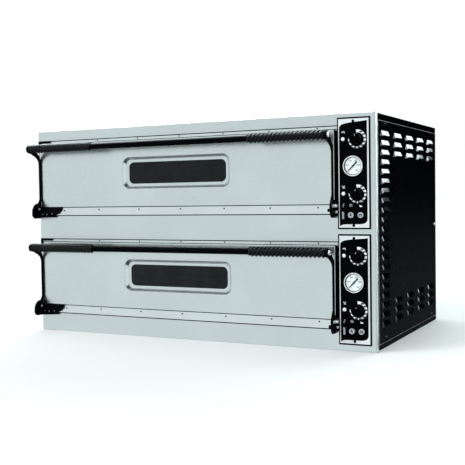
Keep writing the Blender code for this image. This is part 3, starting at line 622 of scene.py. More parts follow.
def fascia():
    """One folded sheet: three bands, the control column and the bend at its right."""
    radius = 0.009
    half_wide, half_high = PANEL_CUTOUT[0] / 2, PANEL_CUTOUT[1] / 2
    fold = RIGHT - radius
    flats = (LEFT, OPENING_RIGHT, PANEL_X - half_wide, PANEL_X + half_wide, fold - 0.001)
    columns = [((x, 0.0), (x, SHEET)) for x in flats]
    columns += zip(*[arc((fold, radius), reach, 270, 360, 8) for reach in (radius, radius - SHEET)])
    columns.append(((RIGHT, 0.012), (RIGHT - SHEET, 0.012)))
    rows = [0.0, HEIGHT]
    for base in DECKS.values():
        middle = base + PANEL_Z
        rows += [base + OPENING_LOW, base + OPENING_HIGH, middle - half_high, middle + half_high]
    rows.sort()

    def is_solid(column, row):
        if not (0 <= column < len(columns) - 1 and 0 <= row < len(rows) - 1):
            return False
        middle = (rows[row] + rows[row + 1]) / 2
        for base in DECKS.values():
            if column == 0 and base + OPENING_LOW < middle < base + OPENING_HIGH:
                return False
            if column == 2 and abs(middle - base - PANEL_Z) < half_high:
                return False
        return True

    form = Form()
    made = {}

    def corner(column, row, side):
        key = (column, row, side)
        if key not in made:
            x, y = columns[column][side]
            made[key] = form.shape.verts.new((x, at(y), rows[row]))
        return made[key]

    cell = ((0, 0), (1, 0), (1, 1), (0, 1))
    beyond = ((0, -1), (1, 0), (0, 1), (-1, 0))
    for column in range(len(columns) - 1):
        for row in range(len(rows) - 1):
            if not is_solid(column, row):
                continue
            front, back = [[corner(column + a, row + b, side) for a, b in cell] for side in (0, 1)]
            form.shape.faces.new(front)
            form.shape.faces.new(back)
            for edge, (right, up) in enumerate(beyond):
                after = (edge + 1) % 4
                if not is_solid(column + right, row + up):
                    form.shape.faces.new((front[edge], front[after], back[after], back[edge]))
    form.piece("fascia", "cabinet", "fascia_steel", ["fascia_steel"], 0.0009, 2, 35, ["front_frame"])


def jamb_shade():
    """Dark strips down the right side of each mouth: painted shade in the gap beside the door."""
    form = Form()
    for base in DECKS.values():
        low = (OPENING_RIGHT + 0.0003, at(0.0016), base + OPENING_LOW)
        form.box(low, (OPENING_RIGHT + 0.0016, at(0.0315), base + OPENING_HIGH))
    form.piece("jamb_shade", "cabinet", "fascia_steel", ["rubber_and_painted_shade"], 0.0003)


def hood(form, middle_y, low_z):
    """One pressed hood: its shell, the lip, and a dark patch below it that is painted shade for the slot's
    opening.
    """
    half_long, high, proud, wall = 0.044, HOOD_HIGH, 0.0058, 0.0009
    steps, lifts, end_share = 20, 8, 0.20
    shells = []
    for inset in (0.0, wall):
        rings = []
        for lift in range(lifts + 1):
            rise = lift / lifts
            slant = min(1.0, 1.22 * (1 - rise))
            ring = []
            for step in range(steps + 1):
                across = 2 * step / steps - 1
                edge = min(1.0, (1 - abs(across)) / end_share) ** 0.85
                x = COVER_X + (proud - inset) * edge * slant
                z = low_z + rise * (high - inset) * edge
                ring.append((x, middle_y + (half_long - inset) * across, z))
            rings.append(ring)
        shells.append(form.loft(rings, is_open=True))
    form.skin(shells[0][0], shells[1][0], is_open=True)
    # A dark patch on the cover under the hood: painted shade where the slot opens into the cabinet.
    wide, narrow = half_long * 0.94, half_long * 0.90
    mouth = ((-wide, -0.0002), (wide, -0.0002), (narrow, 0.0085), (-narrow, 0.0085))
    form.face([(COVER_X + 0.0002, middle_y + y, low_z + z) for y, z in mouth], 1)


def louvres():
    """Hoods on the right cover: one full column at the front, and three rows high and low behind it."""
    form = Form()
    for column, back in enumerate((0.106, 0.250, 0.394, 0.536, 0.680)):
        for row in range(21):
            if column == 0 or not 3 <= row < 18:
                hood(form, at(back), 0.6825 - 0.0302 * row - HOOD_HIGH / 2)
    bmesh.ops.remove_doubles(form.shape, verts=form.shape.verts, dist=1e-6)
    form.piece("louvre_hoods", "cabinet", "case_paint", ["case_paint", "rubber_and_painted_shade"], smooth=22)


def cover_edge():
    """A light grey frame round the cover's edge: a painted highlight where that edge catches the light."""
    form = Form()
    low, high, front, back = 0.018, HEIGHT - 0.022, at(0.035), BACK - 0.006
    under, over, wide = COVER_X - 0.0010, COVER_X + 0.0003, 0.0011
    rings = []
    for inset, x in ((0.0, under), (0.0, over), (wide, over), (wide, under)):
        ys, zs = (front + inset, back - inset), (low + inset, high - inset)
        rings.append([(x, ys[0], zs[0]), (x, ys[1], zs[0]), (x, ys[1], zs[1]), (x, ys[0], zs[1])])
    form.loft(rings, is_loop=True)
    form.piece("cover_edge", "cabinet", "case_paint", ["edge_highlight_paint"])


def cover_screws():
    """Screws of the right cover, the two at its middle height left bright."""
    form = Form()
    places = ((0.108, 0.714), (0.693, 0.717), (0.747, 0.374), (0.028, 0.375), (0.110, 0.032), (0.693, 0.031))
    for back, height in places:
        is_bright = 0.3 < height < 0.4
        place = (COVER_X if back > 0.035 else 0.6500, at(back), height)
        form.screw(place, (1, 0, 0), 0.0046, 0.0026, back * 9, int(is_bright))
    form.piece("cover_screws", "cabinet", None, ["case_paint", "zinc"])


def case_screws():
    """Screws of the left side and the back."""
    form = Form()
    for back in (0.06, 0.38, 0.70):
        for height in (0.03, 0.715):
            form.screw((LEFT + 0.0002, at(back), height), (-1, 0, 0), 0.0042, 0.0001, back * 7)
    for across in (-0.60, -0.20, 0.20, 0.60):
        for height in (0.02, 0.725):
            form.screw((across, REAR_Y, height), (0, 1, 0), 0.0042, 0.0022, across * 5)
    form.piece("case_screws", "cabinet", None, ["bright_steel"])


def strip_screws(deck):
    """Small screws along the strips below and above the door."""
    form = Form(deck)
    for across in (-0.3865, -0.2135, -0.0430, 0.1270, 0.2970, 0.4640):
        form.screw((across, FRONT, 0.0880), FORWARDS, 0.0027, 0.0014, across * 11)
        form.screw((across, FRONT, 0.3384), FORWARDS, 0.0024, 0.0012, across * 7)
    form.piece(f"{deck}_strip_screws", "cabinet", "arm_casting")


def seam_shade(deck):
    """Black beads where the trim meets the fascia and along the shelf's edge, and black sheets in the gaps over
    and beside the door: painted shade for the dark lines of these seams and gaps.
    """
    form = Form(deck)
    bead = ((0.0004, -1.0), (-0.0002, -0.8), (-0.0004, -0.3))
    bead += tuple((deep, -share) for deep, share in reversed(bead))
    left, right = LEFT + 0.0003, OPENING_RIGHT + 0.0004
    # Black beads along the seams: painted shade of the gaps between the parts.
    for middle, half, start, end in (
        (OPENING_LOW, 0.0019, left, right),
        (OPENING_HIGH, 0.0018, left, right),
        (SHELF_TOP - 0.0006, 0.0010, LEFT + 0.0024, OPENING_RIGHT - 0.0008),
    ):
        form.prism([(at(deep), middle + half * share) for deep, share in bead], "X", start, end)
    (left, right), (low, high) = DOOR_X, DOOR_Z
    # Black sheets in the gap over the door and at the back of the gap beside it: painted shade.
    form.box((left + 0.002, at(0.0008), high + 0.0002), (right - 0.0005, at(0.0060), high + 0.0014))
    beside = (right + 0.0006, at(0.0291), SHELF_TOP + 0.0002)
    form.box(beside, (OPENING_RIGHT - 0.0004, at(0.0299), high + 0.0012))
    form.piece(f"{deck}_seals", "cabinet", "inner_plastic", ["rubber_and_painted_shade"])
    # A black strip on the door's right side face: painted shade for that unlit side.
    edge = Form(deck)
    edge.box((right - 0.0002, at(0.0012), low + 0.0016), (right + 0.0003, at(0.0270), high - 0.0020))
    edge.piece(f"{deck}_door_edge_shade", f"{deck}_door", "inner_plastic", ["rubber_and_painted_shade"], 0.0002)


def gland():
    """The cable gland: a threaded body, a hexagonal nut and a ribbed cap."""
    form = Form()
    start, end = REAR_Y - 0.010, REAR_Y + 0.0005
    nut, cap, mouth = REAR_Y + 0.007, REAR_Y + 0.017, REAR_Y + 0.022
    form.lathe([(0.0050, start), (0.0098, start), (0.0098, end), (0.0050, end)], "Y", GLAND_AT, is_loop=True)
    hexagon = [(0.0052, REAR_Y + 0.0004), (0.0138, REAR_Y + 0.0004), (0.0145, REAR_Y + 0.0012)]
    hexagon += [(0.0145, nut - 0.0008), (0.0138, nut), (0.0052, nut)]
    form.lathe(hexagon, "Y", GLAND_AT, 6, is_loop=True)
    profile = [(0.0050, nut), (0.0122, nut), (0.0125, nut + 0.001), (0.0125, cap)]
    profile += [(0.0100, cap + 0.003), (0.0080, mouth), (0.0050, mouth)]
    rings = []
    for radius, along in profile:
        low = 0.955 if nut < along <= cap else 1.0
        spokes = [polar(GLAND_AT, radius * (low if step % 3 == 0 else 1.0), 5 * step) for step in range(72)]
        rings.append([placed("Y", x, z, along) for x, z in spokes])
    form.loft(rings, is_loop=True)
    finish = "inner_plastic"
    form.piece("cable_gland_fine", "cabinet", finish, [finish], 0.0002, 1, 50, ["cable_gland"])


# Chambers


def elements(deck):
    """Tubular heaters with smooth bends."""
    first, pitch, legs = 0.080, 0.116, 5
    turn, margin = pitch / 2, 0.025
    left_end, right_end = CHAMBER_X[0] + margin + turn, CHAMBER_X[1] - margin - turn
    terminal = CHAMBER_X[1] - 0.0005
    ends = (at(first), at(first + pitch * legs))
    collar = [(0.0041, terminal - 0.012), (0.0058, terminal - 0.011), (0.0058, terminal - 0.001)]
    collar.append((0.0041, terminal))
    for level, height in ELEMENT_Z.items():
        path = [(terminal, ends[0])]
        for leg in range(legs):
            y = at(first + pitch * (leg + 0.5))
            if leg % 2 == 0:
                path += arc((left_end, y), turn, 270, 90, 16)
            else:
                path += arc((right_end, y), turn, -90, 90, 16)
        path.append((terminal, ends[1]))
        form = Form(deck)
        form.sweep([(x, y, height) for x, y in path], 0.0040)
        for y in ends:
            form.lathe(collar, "X", (y, height), 16)
        name = f"{deck}_{level}_element"
        form.piece(f"{name}_fine", "cabinet", "element_steel", replaces=[name])


# Doors


def door_pan(form):
    """The pan's folded edges. Returns the loop round its flat face."""
    centre = ((DOOR_X[0] + DOOR_X[1]) / 2, (DOOR_Z[0] + DOOR_Z[1]) / 2)
    wide, high = DOOR_X[1] - DOOR_X[0], DOOR_Z[1] - DOOR_Z[0]
    face, fold, corner, least = -DOOR_PROUD, 0.0022, 0.0020, 0.0008
    loops = [(0.0, corner, DOOR_SEAM), (0.0, corner, face + fold)]
    for step in range(1, 6):
        angle = math.pi / 2 * step / 5
        inset = fold * (1 - math.cos(angle))
        loops.append((inset, max(corner - inset, least), face + fold * (1 - math.sin(angle))))
    loops.append((fold + 0.0015, least, face))
    rings = []
    for inset, radius, deep in loops:
        rings.append(drawn(rounded(centre, (wide - 2 * inset, high - 2 * inset), radius, 4), deep))
    return form.loft(rings, caps=(False, False))[-1]


def window_dish(form):
    """The wall and the ledge of the window's surround. Returns the loop where it meets the flat face."""
    deepest, wall, ledge, end = 0.0132, 0.0122, 0.0198, 0.0210
    profile = [(-0.0040, 0.0), (-0.0012, 0.0)]
    for step in range(13):
        share = step / 12
        eased = share * share * (3 - 2 * share)
        profile.append((wall * share, deepest * (0.82 * eased + 0.18 * share * share)))
    profile += [(wall + 0.0012, deepest), (ledge - 0.0010, deepest), (ledge, deepest + 0.0001)]
    profile += [(end - 0.0004, deepest + 0.0006), (end, deepest + 0.0022)]
    rings = []
    for inset, deep in profile:
        radius = 0.0235 - 0.0045 * max(inset, 0.0) / end + max(-inset, 0)
        size = (WINDOW_OUTER[0] - 2 * inset, WINDOW_OUTER[1] - 2 * inset)
        rings.append(drawn(rounded((WINDOW_X, WINDOW_Z), size, radius, 12), deep - DOOR_PROUD))
    return form.loft(rings, caps=(False, False))[0]


def door_skin(deck):
    """The outer pan, folded at its edges, with the window's dished surround."""
    form = Form(deck)
    form.fill((door_pan(form), window_dish(form)))
    bmesh.ops.recalc_face_normals(form.shape, faces=form.shape.faces)
    for item in form.shape.faces:
        if item.normal.y > 0.99 and abs(item.calc_center_median().y - at(-DOOR_PROUD)) < 1e-5:
            bmesh.ops.reverse_faces(form.shape, faces=form.shape.faces)
            break
    name, body = f"{deck}_door_skin", f"{deck}_door"
    obj = form.piece(f"{name}_fine", body, "door_steel", smooth=60, replaces=[name], is_turned=False)
    thick = obj.modifiers.new("Sheet", "SOLIDIFY")
    thick.thickness = 0.0010
    thick.offset = -1.0


def grips(deck, side):
    """A sleeve with three round ribs wound along it as a screw thread."""
    low, high = GRIP_SPAN[side]
    pitch, groove, starts = 0.01435, 0.0046, 3
    count = int((high - low) / pitch * 12)
    angles = [math.radians(360 * step / 56) for step in range(56)]
    bore = [BAR_RADIUS + 0.0003] * len(angles)
    sleeve = [(low, bore)]
    for step in range(count + 1):
        x = low + (high - low) * step / count
        ends = min(x - low, high - x)
        taper = 1.0 if ends > 0.004 else 0.80 + 0.20 * math.sin(math.pi / 2 * ends / 0.004)
        phases = [((x - low) / pitch - starts * angle / (2 * math.pi)) % 1.0 for angle in angles]
        reach = [(GRIP_RADIUS - 0.00005 - groove * (2 * phase - 1) ** 2) * taper for phase in phases]
        sleeve.append((x, reach))
    sleeve.append((high, bore))
    form = Form(deck)
    rings = []
    for x, reach in sleeve:
        ring = zip(reach, angles)
        rings.append([(x, at(-HANDLE_PROUD) - r * math.cos(a), HANDLE_Z + r * math.sin(a)) for r, a in ring])
    form.loft(rings, is_loop=True)
    name = f"{deck}_{side}_grip"
    form.piece(f"{name}_fine", f"{deck}_door", "grip_plastic", smooth=75, replaces=[name])


def handle(deck):
    """The tube between the arms, and the domed bolts that hold it."""
    centre = (at(-HANDLE_PROUD), HANDLE_Z)
    low, high = ARM_X["left"][1] + 0.0003, ARM_X["right"][0] - 0.0003
    form = Form(deck)
    inner, edge = BAR_RADIUS - 0.0015, 0.0006
    profile = [(inner, low), (BAR_RADIUS - edge, low), (BAR_RADIUS, low + edge)]
    profile += [(BAR_RADIUS, high - edge), (BAR_RADIUS - edge, high), (inner, high)]
    form.lathe(profile, "X", centre, 40, is_loop=True)
    name = f"{deck}_handle_bar"
    form.piece(f"{name}_fine", f"{deck}_door", "bar_steel", replaces=[name])
    bolts = Form(deck)
    for face, out, proud in ((ARM_X["left"][0], -1, 0.0048), (ARM_X["right"][1], 1, 0.0080)):
        head = dome(0.0083, face + out * (proud - 0.0012), out * 0.0012)
        bolts.lathe([(0.0085, face + out * 0.0030)] + [(r + 0.0002, x) for r, x in head], "X", centre, 32)
    bolts.piece(f"{deck}_handle_bolts", f"{deck}_door", "trim_steel", ["zinc"])


def latch_tab(deck):
    """A small black angle at the door's top left corner that laps over the strip above it."""
    form = Form(deck)
    low, high = 0.3210, 0.3455
    outline = [(-0.6548, low), (-0.6445, low), (-0.6445, 0.3345), (-0.6425, 0.3362)]
    outline += [(-0.6020, 0.3362), (-0.6000, 0.3385), (-0.6000, 0.3432)]
    outline += [(-0.6018, high), (-0.6530, high), (-0.6548, 0.3437)]
    form.prism(outline, "D", -0.0046, -0.0017)
    form.piece(f"{deck}_latch_tab", f"{deck}_door", "arm_casting", bevel=0.0006)
    form = Form(deck)
    for across in (-0.6370, -0.6120):
        form.screw((across, at(-0.0046), 0.3408), FORWARDS, 0.0028, 0.0014, across * 30)
    form.piece(f"{deck}_latch_screws", f"{deck}_door", "arm_casting")


def arms(deck):
    """Both arms and both brackets, with rounded edges."""
    for side in ARM_X:
        refine(f"{deck}_{side}_arm", "arm_casting", 0.0012, 3)
        refine(f"{deck}_{side}_hinge_bracket", "arm_casting", 0.0010)


def hinge_pins(deck):
    """The pins' bright heads, and the clip on the right pin."""
    form = Form(deck)
    y, z = at(-PIVOT_PROUD), PIVOT_Z
    inner, outer = ARM_X["left"][1] + 0.0008, 0.5240
    head = [(0.0045, inner), (0.0045, inner + 0.0014), (0.0036, inner + 0.0026), (0.0018, inner + 0.0033)]
    form.lathe(head, "X", (y, z), 24)
    pin = [(0.0055, outer), (0.0055, outer + 0.0108), (0.0048, outer + 0.0120), (0.0030, outer + 0.0122)]
    form.lathe(pin, "X", (y, z + 0.0025))
    clip = [(-0.0365, 0.0900), (-0.0340, 0.0880), (-0.0120, 0.0880), (-0.0100, 0.0900)]
    clip += [(-0.0100, 0.0975), (-0.0120, 0.0990), (-0.0340, 0.0990), (-0.0365, 0.0970)]
    form.prism([(at(deep), up) for deep, up in clip], "X", outer - 0.0002, outer + 0.0022)
    form.piece(f"{deck}_hinge_pins", "cabinet", "trim_steel", ["zinc"])


def hinge_bolts(deck):
    """Bolt heads on the brackets, and a screw beside the left one."""
    form = Form(deck)
    bolts = [(0.5272, 0.0745, 0.0048), (-0.6400, 0.0720, 0.0020)]
    bolts += [(-0.6210, 0.0705, 0.0022), (-0.5960, 0.0730, 0.0018)]
    for across, height, radius in bolts:
        head = [(radius, -0.0058), (radius, -0.0080), (radius * 0.7, -0.0090), (radius * 0.3, -0.0093)]
        form.lathe(head, "D", (across, height), 20)
    form.piece(f"{deck}_hinge_bolts", "cabinet", "trim_steel", ["zinc"])
    form = Form(deck)
    form.screw((-0.5430, FRONT, 0.0845), FORWARDS, 0.0028, 0.0016, 0.4)
    form.piece(f"{deck}_hinge_screw", "cabinet", "arm_casting")


# Controls


def bend(start, start_pull, end_pull, end, steps):
    """Points along a cubic curve, its two ends included."""
    points = []
    for step in range(steps + 1):
        t = step / steps
        weights = ((1 - t) ** 3, 3 * t * (1 - t) ** 2, 3 * t * t * (1 - t), t**3)
        corners = (start, start_pull, end_pull, end)
        points.append(tuple(sum(w * c[i] for w, c in zip(weights, corners)) for i in range(2)))
    return points


def ribbon(form, points, width, lift, material=0):
    """A flat line of even width along points, printed at a depth."""
    count = len(points)
    left, right = [], []
    for index, (a, b) in enumerate(points):
        before, after = points[max(index - 1, 0)], points[min(index + 1, count - 1)]
        along = Vector((after[0] - before[0], after[1] - before[1])).normalized()
        side = Vector((-along.y, along.x)) * (width / 2)
        left.append((a + side.x, at(lift), b + side.y))
        right.append((a - side.x, at(lift), b - side.y))
    form.loft([left, right], material, is_open=True)


def number(form, text, centre, size, lift, material=0, weight=0.0):
    """A number as a flat mesh on the front, thickened by a weight."""
    curve = bpy.data.curves.new("number", "FONT")
    curve.body = text
    curve.size = size
    curve.align_x = "CENTER"
    curve.align_y = "CENTER"
    curve.resolution_u = 3
    curve.offset = weight
    obj = linked("number", curve)
    bpy.context.view_layer.update()
    mesh = bpy.data.meshes.new_from_object(obj.evaluated_get(bpy.context.evaluated_depsgraph_get()))
    made = [form.shape.verts.new((centre[0] + v.co.x, at(lift), centre[1] + v.co.y)) for v in mesh.vertices]
    for polygon in mesh.polygons:
        face = form.shape.faces.new([made[i] for i in polygon.vertices])
        face.material_index = material
    bpy.data.objects.remove(obj, do_unlink=True)
    bpy.data.curves.remove(curve)
    bpy.data.meshes.remove(mesh)


def panel_print(deck):
    """The panel's black print, with its two large round corners, and the white scales and symbols on it."""
    form = Form(deck)
    outline = [(0.6280, 0.3562), (0.6258, 0.3562)]
    outline += bend((0.6215, 0.3552), (0.5660, 0.3510), (0.5372, 0.3520), (0.5372, 0.3345), 14)
    outline += [(0.5372, 0.0305), (0.5390, 0.0300)]
    outline += bend((0.5400, 0.0305), (0.5460, 0.0355), (0.5560, 0.0352), (0.5700, 0.0352), 6)
    outline += bend((0.5950, 0.0352), (0.6215, 0.0352), (0.6280, 0.0400), (0.6280, 0.0560), 12)
    holes = [circle((KNOB_X, z), 0.0060, 16) for z in KNOB_Z.values()]
    holes += [circle((x, SWITCH_Z), 0.0097, 24) for x in BUTTON_X.values()]
    holes.append(circle((GAUGE_X, GAUGE_Z), 0.0302, 32))
    holes.append(rounded((ROCKER_X, SWITCH_Z), (0.0088, 0.0270), 0.0005, 1))
    form.flat(outline, holes, PRINT)
    for height in KNOB_Z.values():
        scale_ring(form, (KNOB_X, height))
    heater_symbols(form)
    switch_symbols(form)
    inks = ["panel_ink", "white_ink", "black_ink", "grey_ink"]
    form.piece(f"{deck}_panel_print", "cabinet", "panel_plate", inks)


def scale_ring(form, centre):
    """A white band round a knob, thick at the top and thinning as it runs clockwise, with dark numbers."""
    steps, outer = 60, 0.0288
    edges = [], []
    for step in range(steps + 1):
        share = step / steps
        width = 0.0072 * (1 - share) ** 0.7 + 0.0018
        for edge, radius in zip(edges, (outer, outer - width)):
            edge.append(polar(centre, radius, 97 - 280 * share))
    form.loft([drawn(edge, MARK) for edge in edges], 1, is_open=True)
    for index in range(9):
        place = polar(centre, 0.0248 + 0.0004 * index, 60 - 27.5 * index)
        number(form, str(450 - 50 * index), place, 0.0066 - 0.0001 * index, MARK - 0.00006, 2, 0.00055)


def heater_symbols(form):
    """A bent heat arrow over the upper lamp, and a crossed one over the lower lamp."""
    for x, z, width, stroke in (
        (0.5510, 0.3215, 0.0022, ((-45, -5), (-30, 22), (30, 22))),
        (0.5510, 0.3215, 0.0018, ((36, 30), (36, -30))),
        (0.5505, 0.1512, 0.0018, ((-46, 40), (38, -30))),
        (0.5505, 0.1512, 0.0016, ((40, 40), (-24, -30))),
        (0.5505, 0.1512, 0.0028, ((-28, -26), (44, -26))),
    ):
        ribbon(form, [(x + a * 1e-4, z + b * 1e-4) for a, b in stroke], width, MARK, 1)


def switch_symbols(form):
    """A thin slash, a small grid and a short bar, one over each switch."""
    height = 0.0945
    strokes = []
    for shift in (-10, 12):
        strokes.append((ROCKER_X, ((shift + 16, 60), (shift - 14, -60)), 0.0009, 3))
    for step in (-1, 0, 1):
        strokes.append((BUTTON_X["start"] - 0.0005, ((-46, 34 * step), (46, 34 * step)), 0.0011, 3))
        strokes.append((BUTTON_X["start"] - 0.0005, ((40 * step, -40), (40 * step, 40)), 0.0010, 3))
    strokes.append((BUTTON_X["stop"], ((-40, -36), (44, -28)), 0.0036, 1))
    strokes.append((BUTTON_X["stop"], ((-40, 8), (-12, -20)), 0.0018, 1))
    for x, ends, width, ink in strokes:
        ribbon(form, [(x + a * 1e-4, height + b * 1e-4) for a, b in ends], width, MARK, ink)


def panel(deck):
    """The steel plate, the dark seal that laps over its edge, and its screws."""
    refine(f"{deck}_control_panel", "plate_white", 0.0003, slot="panel_plate")
    seal = Form(deck)
    plate = rounded((PANEL_X, PANEL_Z), PANEL_SIZE, 0.0003, 2)
    lip = rounded((PANEL_X + 0.0004, PANEL_Z), (0.0990, 0.3390), 0.0006, 2)
    outer = rounded((PANEL_X + 0.0010, PANEL_Z), (0.1072, 0.3486), 0.0012, 2)
    section = [(lip, -0.0019), (lip, -0.0025), (outer, -0.0025)]
    section += [(outer, -0.0002), (plate, -0.0002), (plate, -0.0019)]
    seal.loft([drawn(outline, deep) for outline, deep in section], is_loop=True)
    seal.piece(f"{deck}_panel_seal", "cabinet", "inner_plastic", ["rubber_and_painted_shade"])
    form = Form(deck)
    for height in (0.3556, 0.0315):
        form.screw((0.5830, at(-PANEL_FRONT), height), FORWARDS, 0.0046, 0.0019, height * 20)
    form.piece(f"{deck}_panel_screws", "cabinet", "trim_steel", ["rubber_and_painted_shade"])


def pilot_lamps(deck):
    """White domed lenses in round bezels."""
    form = Form(deck)
    bezel = [(0.0044, -0.0017), (0.0060, -0.0017), (0.0060, -0.0026)]
    bezel += [(0.0056, -0.0030), (0.0052, -0.0030), (0.0046, -0.0026)]
    lens = [(0.0048, -0.0018)] + dome(0.0048, -0.0030, -0.0022, last=5)
    for height in (0.3010, 0.1310):
        form.lathe(bezel, "D", (0.5500, height), is_loop=True)
        form.lathe(lens, "D", (0.5500, height), material=1)
    form.piece(f"{deck}_pilot_lamps", "cabinet", "switch_plastic", ["switch_plastic", "lamp_lens"])


def knob(deck, level):
    """A round knob with a stepped skirt, a raised finger bar and its pointer."""
    centre = (KNOB_X, KNOB_Z[level])
    back = -PANEL_FRONT - 0.0007
    form = Form(deck)
    profile = [(0.0030, 0.0240), (0.0030, back), (0.0193, back), (0.0199, -0.0032), (0.0199, -0.0044)]
    profile += [(0.0192, -0.0056), (0.0176, -0.0064), (0.0168, -0.0074), (0.0162, -0.0150)]
    profile += [(0.0158, -0.0204), (0.0150, -0.0222), (0.0135, -0.0233), (0.0060, -0.0235)]
    form.lathe(profile, "D", centre, 64)
    bar = []
    half_wide, half_long = 0.0032, 0.0140
    for share, deep in ((1.0, -0.0225), (1.0, -0.0244), (0.86, -0.0255), (0.62, -0.0259)):
        size = (2 * half_wide * share, 2 * (half_long - half_wide * (1 - share)))
        bar.append(drawn(rounded(centre, size, 0.98 * half_wide * share), deep))
    form.loft(bar)
    name = f"{deck}_{level}_knob"
    form.piece(f"{name}_fine", name, "knob_plastic", smooth=38, replaces=[name])
    mark = Form(deck)
    for rise, size, radius, near, far in (
        (0.0106, (0.0014, 0.0050), 0.0006, -0.0260, -0.0256),
        (0.0184, (0.0012, 0.0024), 0.0005, -0.0058, -0.0050),
    ):
        mark.prism(rounded((centre[0], centre[1] + rise), size, radius, 3), "D", near, far)
    mark.piece(f"{name}_pointer", name, "knob_plastic", ["grey_ink"])


def thermometer_case(deck):
    """The case with its rim, and the dial inside it."""
    centre, rim, flange = (GAUGE_X, GAUGE_Z), GAUGE_RADIUS, -PANEL_FRONT - 0.0003
    form = Form(deck)
    profile = [(0.0290, 0.0220), (0.0290, flange), (rim - 0.0004, flange), (rim - 0.0001, -0.0026)]
    profile += [(rim - 0.0001, -0.0062), (rim - 0.0004, -0.0071), (rim - 0.0011, -0.0077)]
    profile += [(rim - 0.0019, -0.0077), (rim - 0.0030, -0.0070)]
    form.lathe(profile, "D", centre, 64, 0, caps=(True, False))
    wall = [(rim - 0.0030, -0.0070), (rim - 0.0034, -0.0060), (rim - 0.0036, DIAL), (rim - 0.0052, DIAL)]
    form.lathe(wall, "D", centre, 64, 2, caps=(False, False))
    form.lathe([(rim - 0.0052, DIAL), (0.0020, DIAL)], "D", centre, 64, 1, caps=(False, True))
    name = f"{deck}_thermometer_case"
    finishes = ["switch_plastic", "dial_enamel", "rubber_and_painted_shade"]
    form.piece(f"{name}_fine", "cabinet", "dial_enamel", finishes, replaces=[name])


def thermometer_scale(deck):
    """Fifty divisions with a number at each tenth, and an arc over part of them."""
    centre, lift = (GAUGE_X, GAUGE_Z), DIAL - 0.0001
    marks = Form(deck)
    for index in range(51):
        angle = NEEDLE_REST - 270 * index / 50
        is_long = index % 10 == 0
        near = 0.0222 if is_long else (0.0232 if index % 5 == 0 else 0.0240)
        ends = [polar(centre, radius, angle) for radius in (near, 0.0256)]
        ribbon(marks, ends, 0.0011 if is_long else 0.0005, lift)
        if is_long:
            number(marks, str(index * 10), polar(centre, 0.0183, angle), 0.0056, lift, 0, 0.00012)
    ribbon(marks, arc(centre, 0.0272, 118, 236, 30), 0.0024, lift)
    marks.piece(f"{deck}_thermometer_scale", "cabinet", "dial_enamel", ["black_ink"])


def thermometer_needle(deck):
    """The blade with its round tail, and the hub."""
    centre = (GAUGE_X, GAUGE_Z)
    needle = Form(deck)
    cos, sin = polar((0, 0), 1, NEEDLE_REST)
    blade = [(-0.0150, 0.0018), (-0.0150, -0.0018), (0.0, -0.0022)]
    blade += [(0.0215, -0.0008), (0.0215, 0.0008), (0.0, 0.0022)]
    outline = [(centre[0] + a * cos - b * sin, centre[1] + a * sin + b * cos) for a, b in blade]
    needle.prism(outline, "D", -0.0056, -0.0048)
    tail = [(0.0030, -0.0048), (0.0030, -0.0055), (0.0024, -0.0058)]
    needle.lathe(tail, "D", polar(centre, -0.0158, NEEDLE_REST), 20)
    hub = [(0.0026, -0.0033), (0.0028, -0.0056), (0.0026, -0.0063), (0.0016, -0.0066)]
    needle.lathe(hub, "D", centre, 24)
    name = f"{deck}_thermometer_needle"
    needle.piece(f"{name}_fine", f"{deck}_needle", "needle_black", replaces=[name])


def thermometer_lens(deck):
    """A shallow clear dome."""
    lens = Form(deck)
    lens.lathe(dome(0.0287, -0.0068, -0.0008, steps=7), "D", (GAUGE_X, GAUGE_Z), 48, caps=(False, True))
    lens.piece(f"{deck}_thermometer_lens", "cabinet", "door_glass", ["clear_lens"])


def rocker(deck):
    """A rocker with its upper half out, dished across the middle."""
    name = f"{deck}_rocker_switch"
    form = Form(deck)
    cos, sin = polar((0, 0), 1, 10)
    side = [(-0.0055, 0.0116), (-0.0048, 0.0060), (-0.0042, 0.0), (-0.0048, -0.0060), (-0.0055, -0.0116)]
    side += [(0.0020, -0.0100), (0.0050, 0.0), (0.0020, 0.0100)]
    outline = [(at(y * cos - z * sin), SWITCH_Z + y * sin + z * cos) for y, z in side]
    form.prism(outline, "X", ROCKER_X - 0.0028, ROCKER_X + 0.0028)
    form.piece(f"{name}_fine", f"{deck}_rocker", "switch_plastic", ["rocker_plastic"], 0.0005, 2, 30, [name])


def buttons(deck):
    """Round buttons, each with a dark mark on its face."""
    profile = [(0.0040, 0.0190), (0.0040, 0.0080), (0.0090, 0.0080), (0.0090, -0.0060)]
    profile += [(0.0087, -0.0070), (0.0080, -0.0076), (0.0070, -0.0077), (0.0040, -0.0074)]
    marks = {
        "start": (((12, 52), (-26, -6), (22, -6)), ((14, 14), (14, -46))),
        "stop": (((-34, -40), (-26, 38), (0, -4)), ((0, -4), (26, 38), (34, -40))),
    }
    for role, across in BUTTON_X.items():
        form = Form(deck)
        form.lathe(profile, "D", (across, SWITCH_Z), 40)
        button = f"{deck}_{role}_button"
        form.piece(f"{button}_fine", button, "switch_plastic", ["button_plastic"], replaces=[button])
        mark = Form(deck)
        for stroke in marks[role]:
            ribbon(mark, [(across + 1.2e-4 * a, SWITCH_Z + 1.2e-4 * b) for a, b in stroke], 0.0030, -0.00773)
        mark.piece(f"{button}_mark", button, "switch_plastic", ["black_ink"])


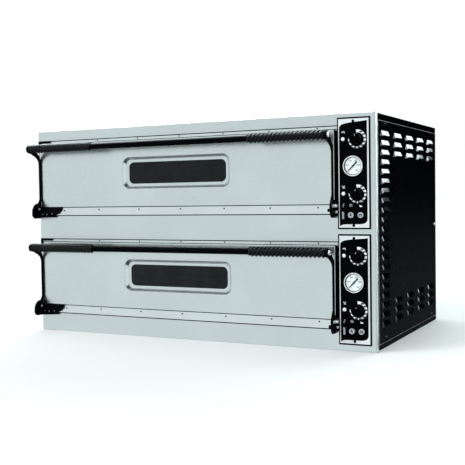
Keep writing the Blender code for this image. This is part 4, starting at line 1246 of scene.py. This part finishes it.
def switch_bezels(deck):
    """Dark surrounds of the rocker and the buttons."""
    form = Form(deck)
    outer = rounded((ROCKER_X, SWITCH_Z), (0.0100, 0.0284), 0.0008, 3)
    inner = rounded((ROCKER_X, SWITCH_Z), (0.0082, 0.0266), 0.0004, 3)
    section = ((inner, -0.0010), (inner, -0.0026), (outer, -0.0026), (outer, -0.0019))
    form.loft([drawn(outline, deep) for outline, deep in section], is_loop=True)
    ring = [(0.0093, -0.0010), (0.0093, -0.0028), (0.0098, -0.0032), (0.0106, -0.0030), (0.0108, -0.0019)]
    for across in BUTTON_X.values():
        form.lathe(ring, "D", (across, SWITCH_Z), 40, is_loop=True)
    form.piece(f"{deck}_switch_bezels", "cabinet", "inner_plastic", ["rubber_and_painted_shade"], smooth=50)


def dress(node, finish):
    """Gives a CAD node that stays its finish."""
    mesh = frame["nodes"][node].data
    mesh.materials.clear()
    mesh.materials.append(FINISHES[finish])


def build():
    camera()
    world()
    floor()
    fascia()
    jamb_shade()
    for side, bevel in (("left_side", 0.0006), ("right_side", 0.0008), ("top", 0.0005), ("rear", 0.0004)):
        refine(f"{side}_panel", "case_paint", bevel)
    dress("base_panel", "case_paint")
    dress("partition_wall", "chamber_steel")
    for part in (louvres, cover_edge, cover_screws, case_screws, gland):
        part()
    for deck in DECKS:
        refine(f"{deck}_chamber", "chamber_steel", 0.0006)
        refine(f"{deck}_baking_stone", "baking_stone", 0.0015)
        refine(f"{deck}_mouth_frame", "trim_steel", 0.0006)
        refine(f"{deck}_door_liner", "liner_steel", 0.0006)
        refine(f"{deck}_door_glass", "door_glass", 0.0006)
        refine(f"{deck}_control_module", "inner_plastic", 0.0006)
        dress(f"{deck}_insulation", "mineral_wool")
        dress(f"{deck}_door_core", "mineral_wool")
        for part in (elements, strip_screws, seam_shade, door_skin, arms, hinge_pins, hinge_bolts, handle):
            part(deck)
        for side in GRIP_SPAN:
            grips(deck, side)
        for part in (latch_tab, panel, pilot_lamps, panel_print):
            part(deck)
        for level in KNOB_Z:
            knob(deck, level)
        for part in (thermometer_case, thermometer_scale, thermometer_needle, thermometer_lens):
            part(deck)
        for part in (rocker, buttons, switch_bezels):
            part(deck)
    lights()
    bpy.context.scene.view_settings.view_transform = "Standard"


build()
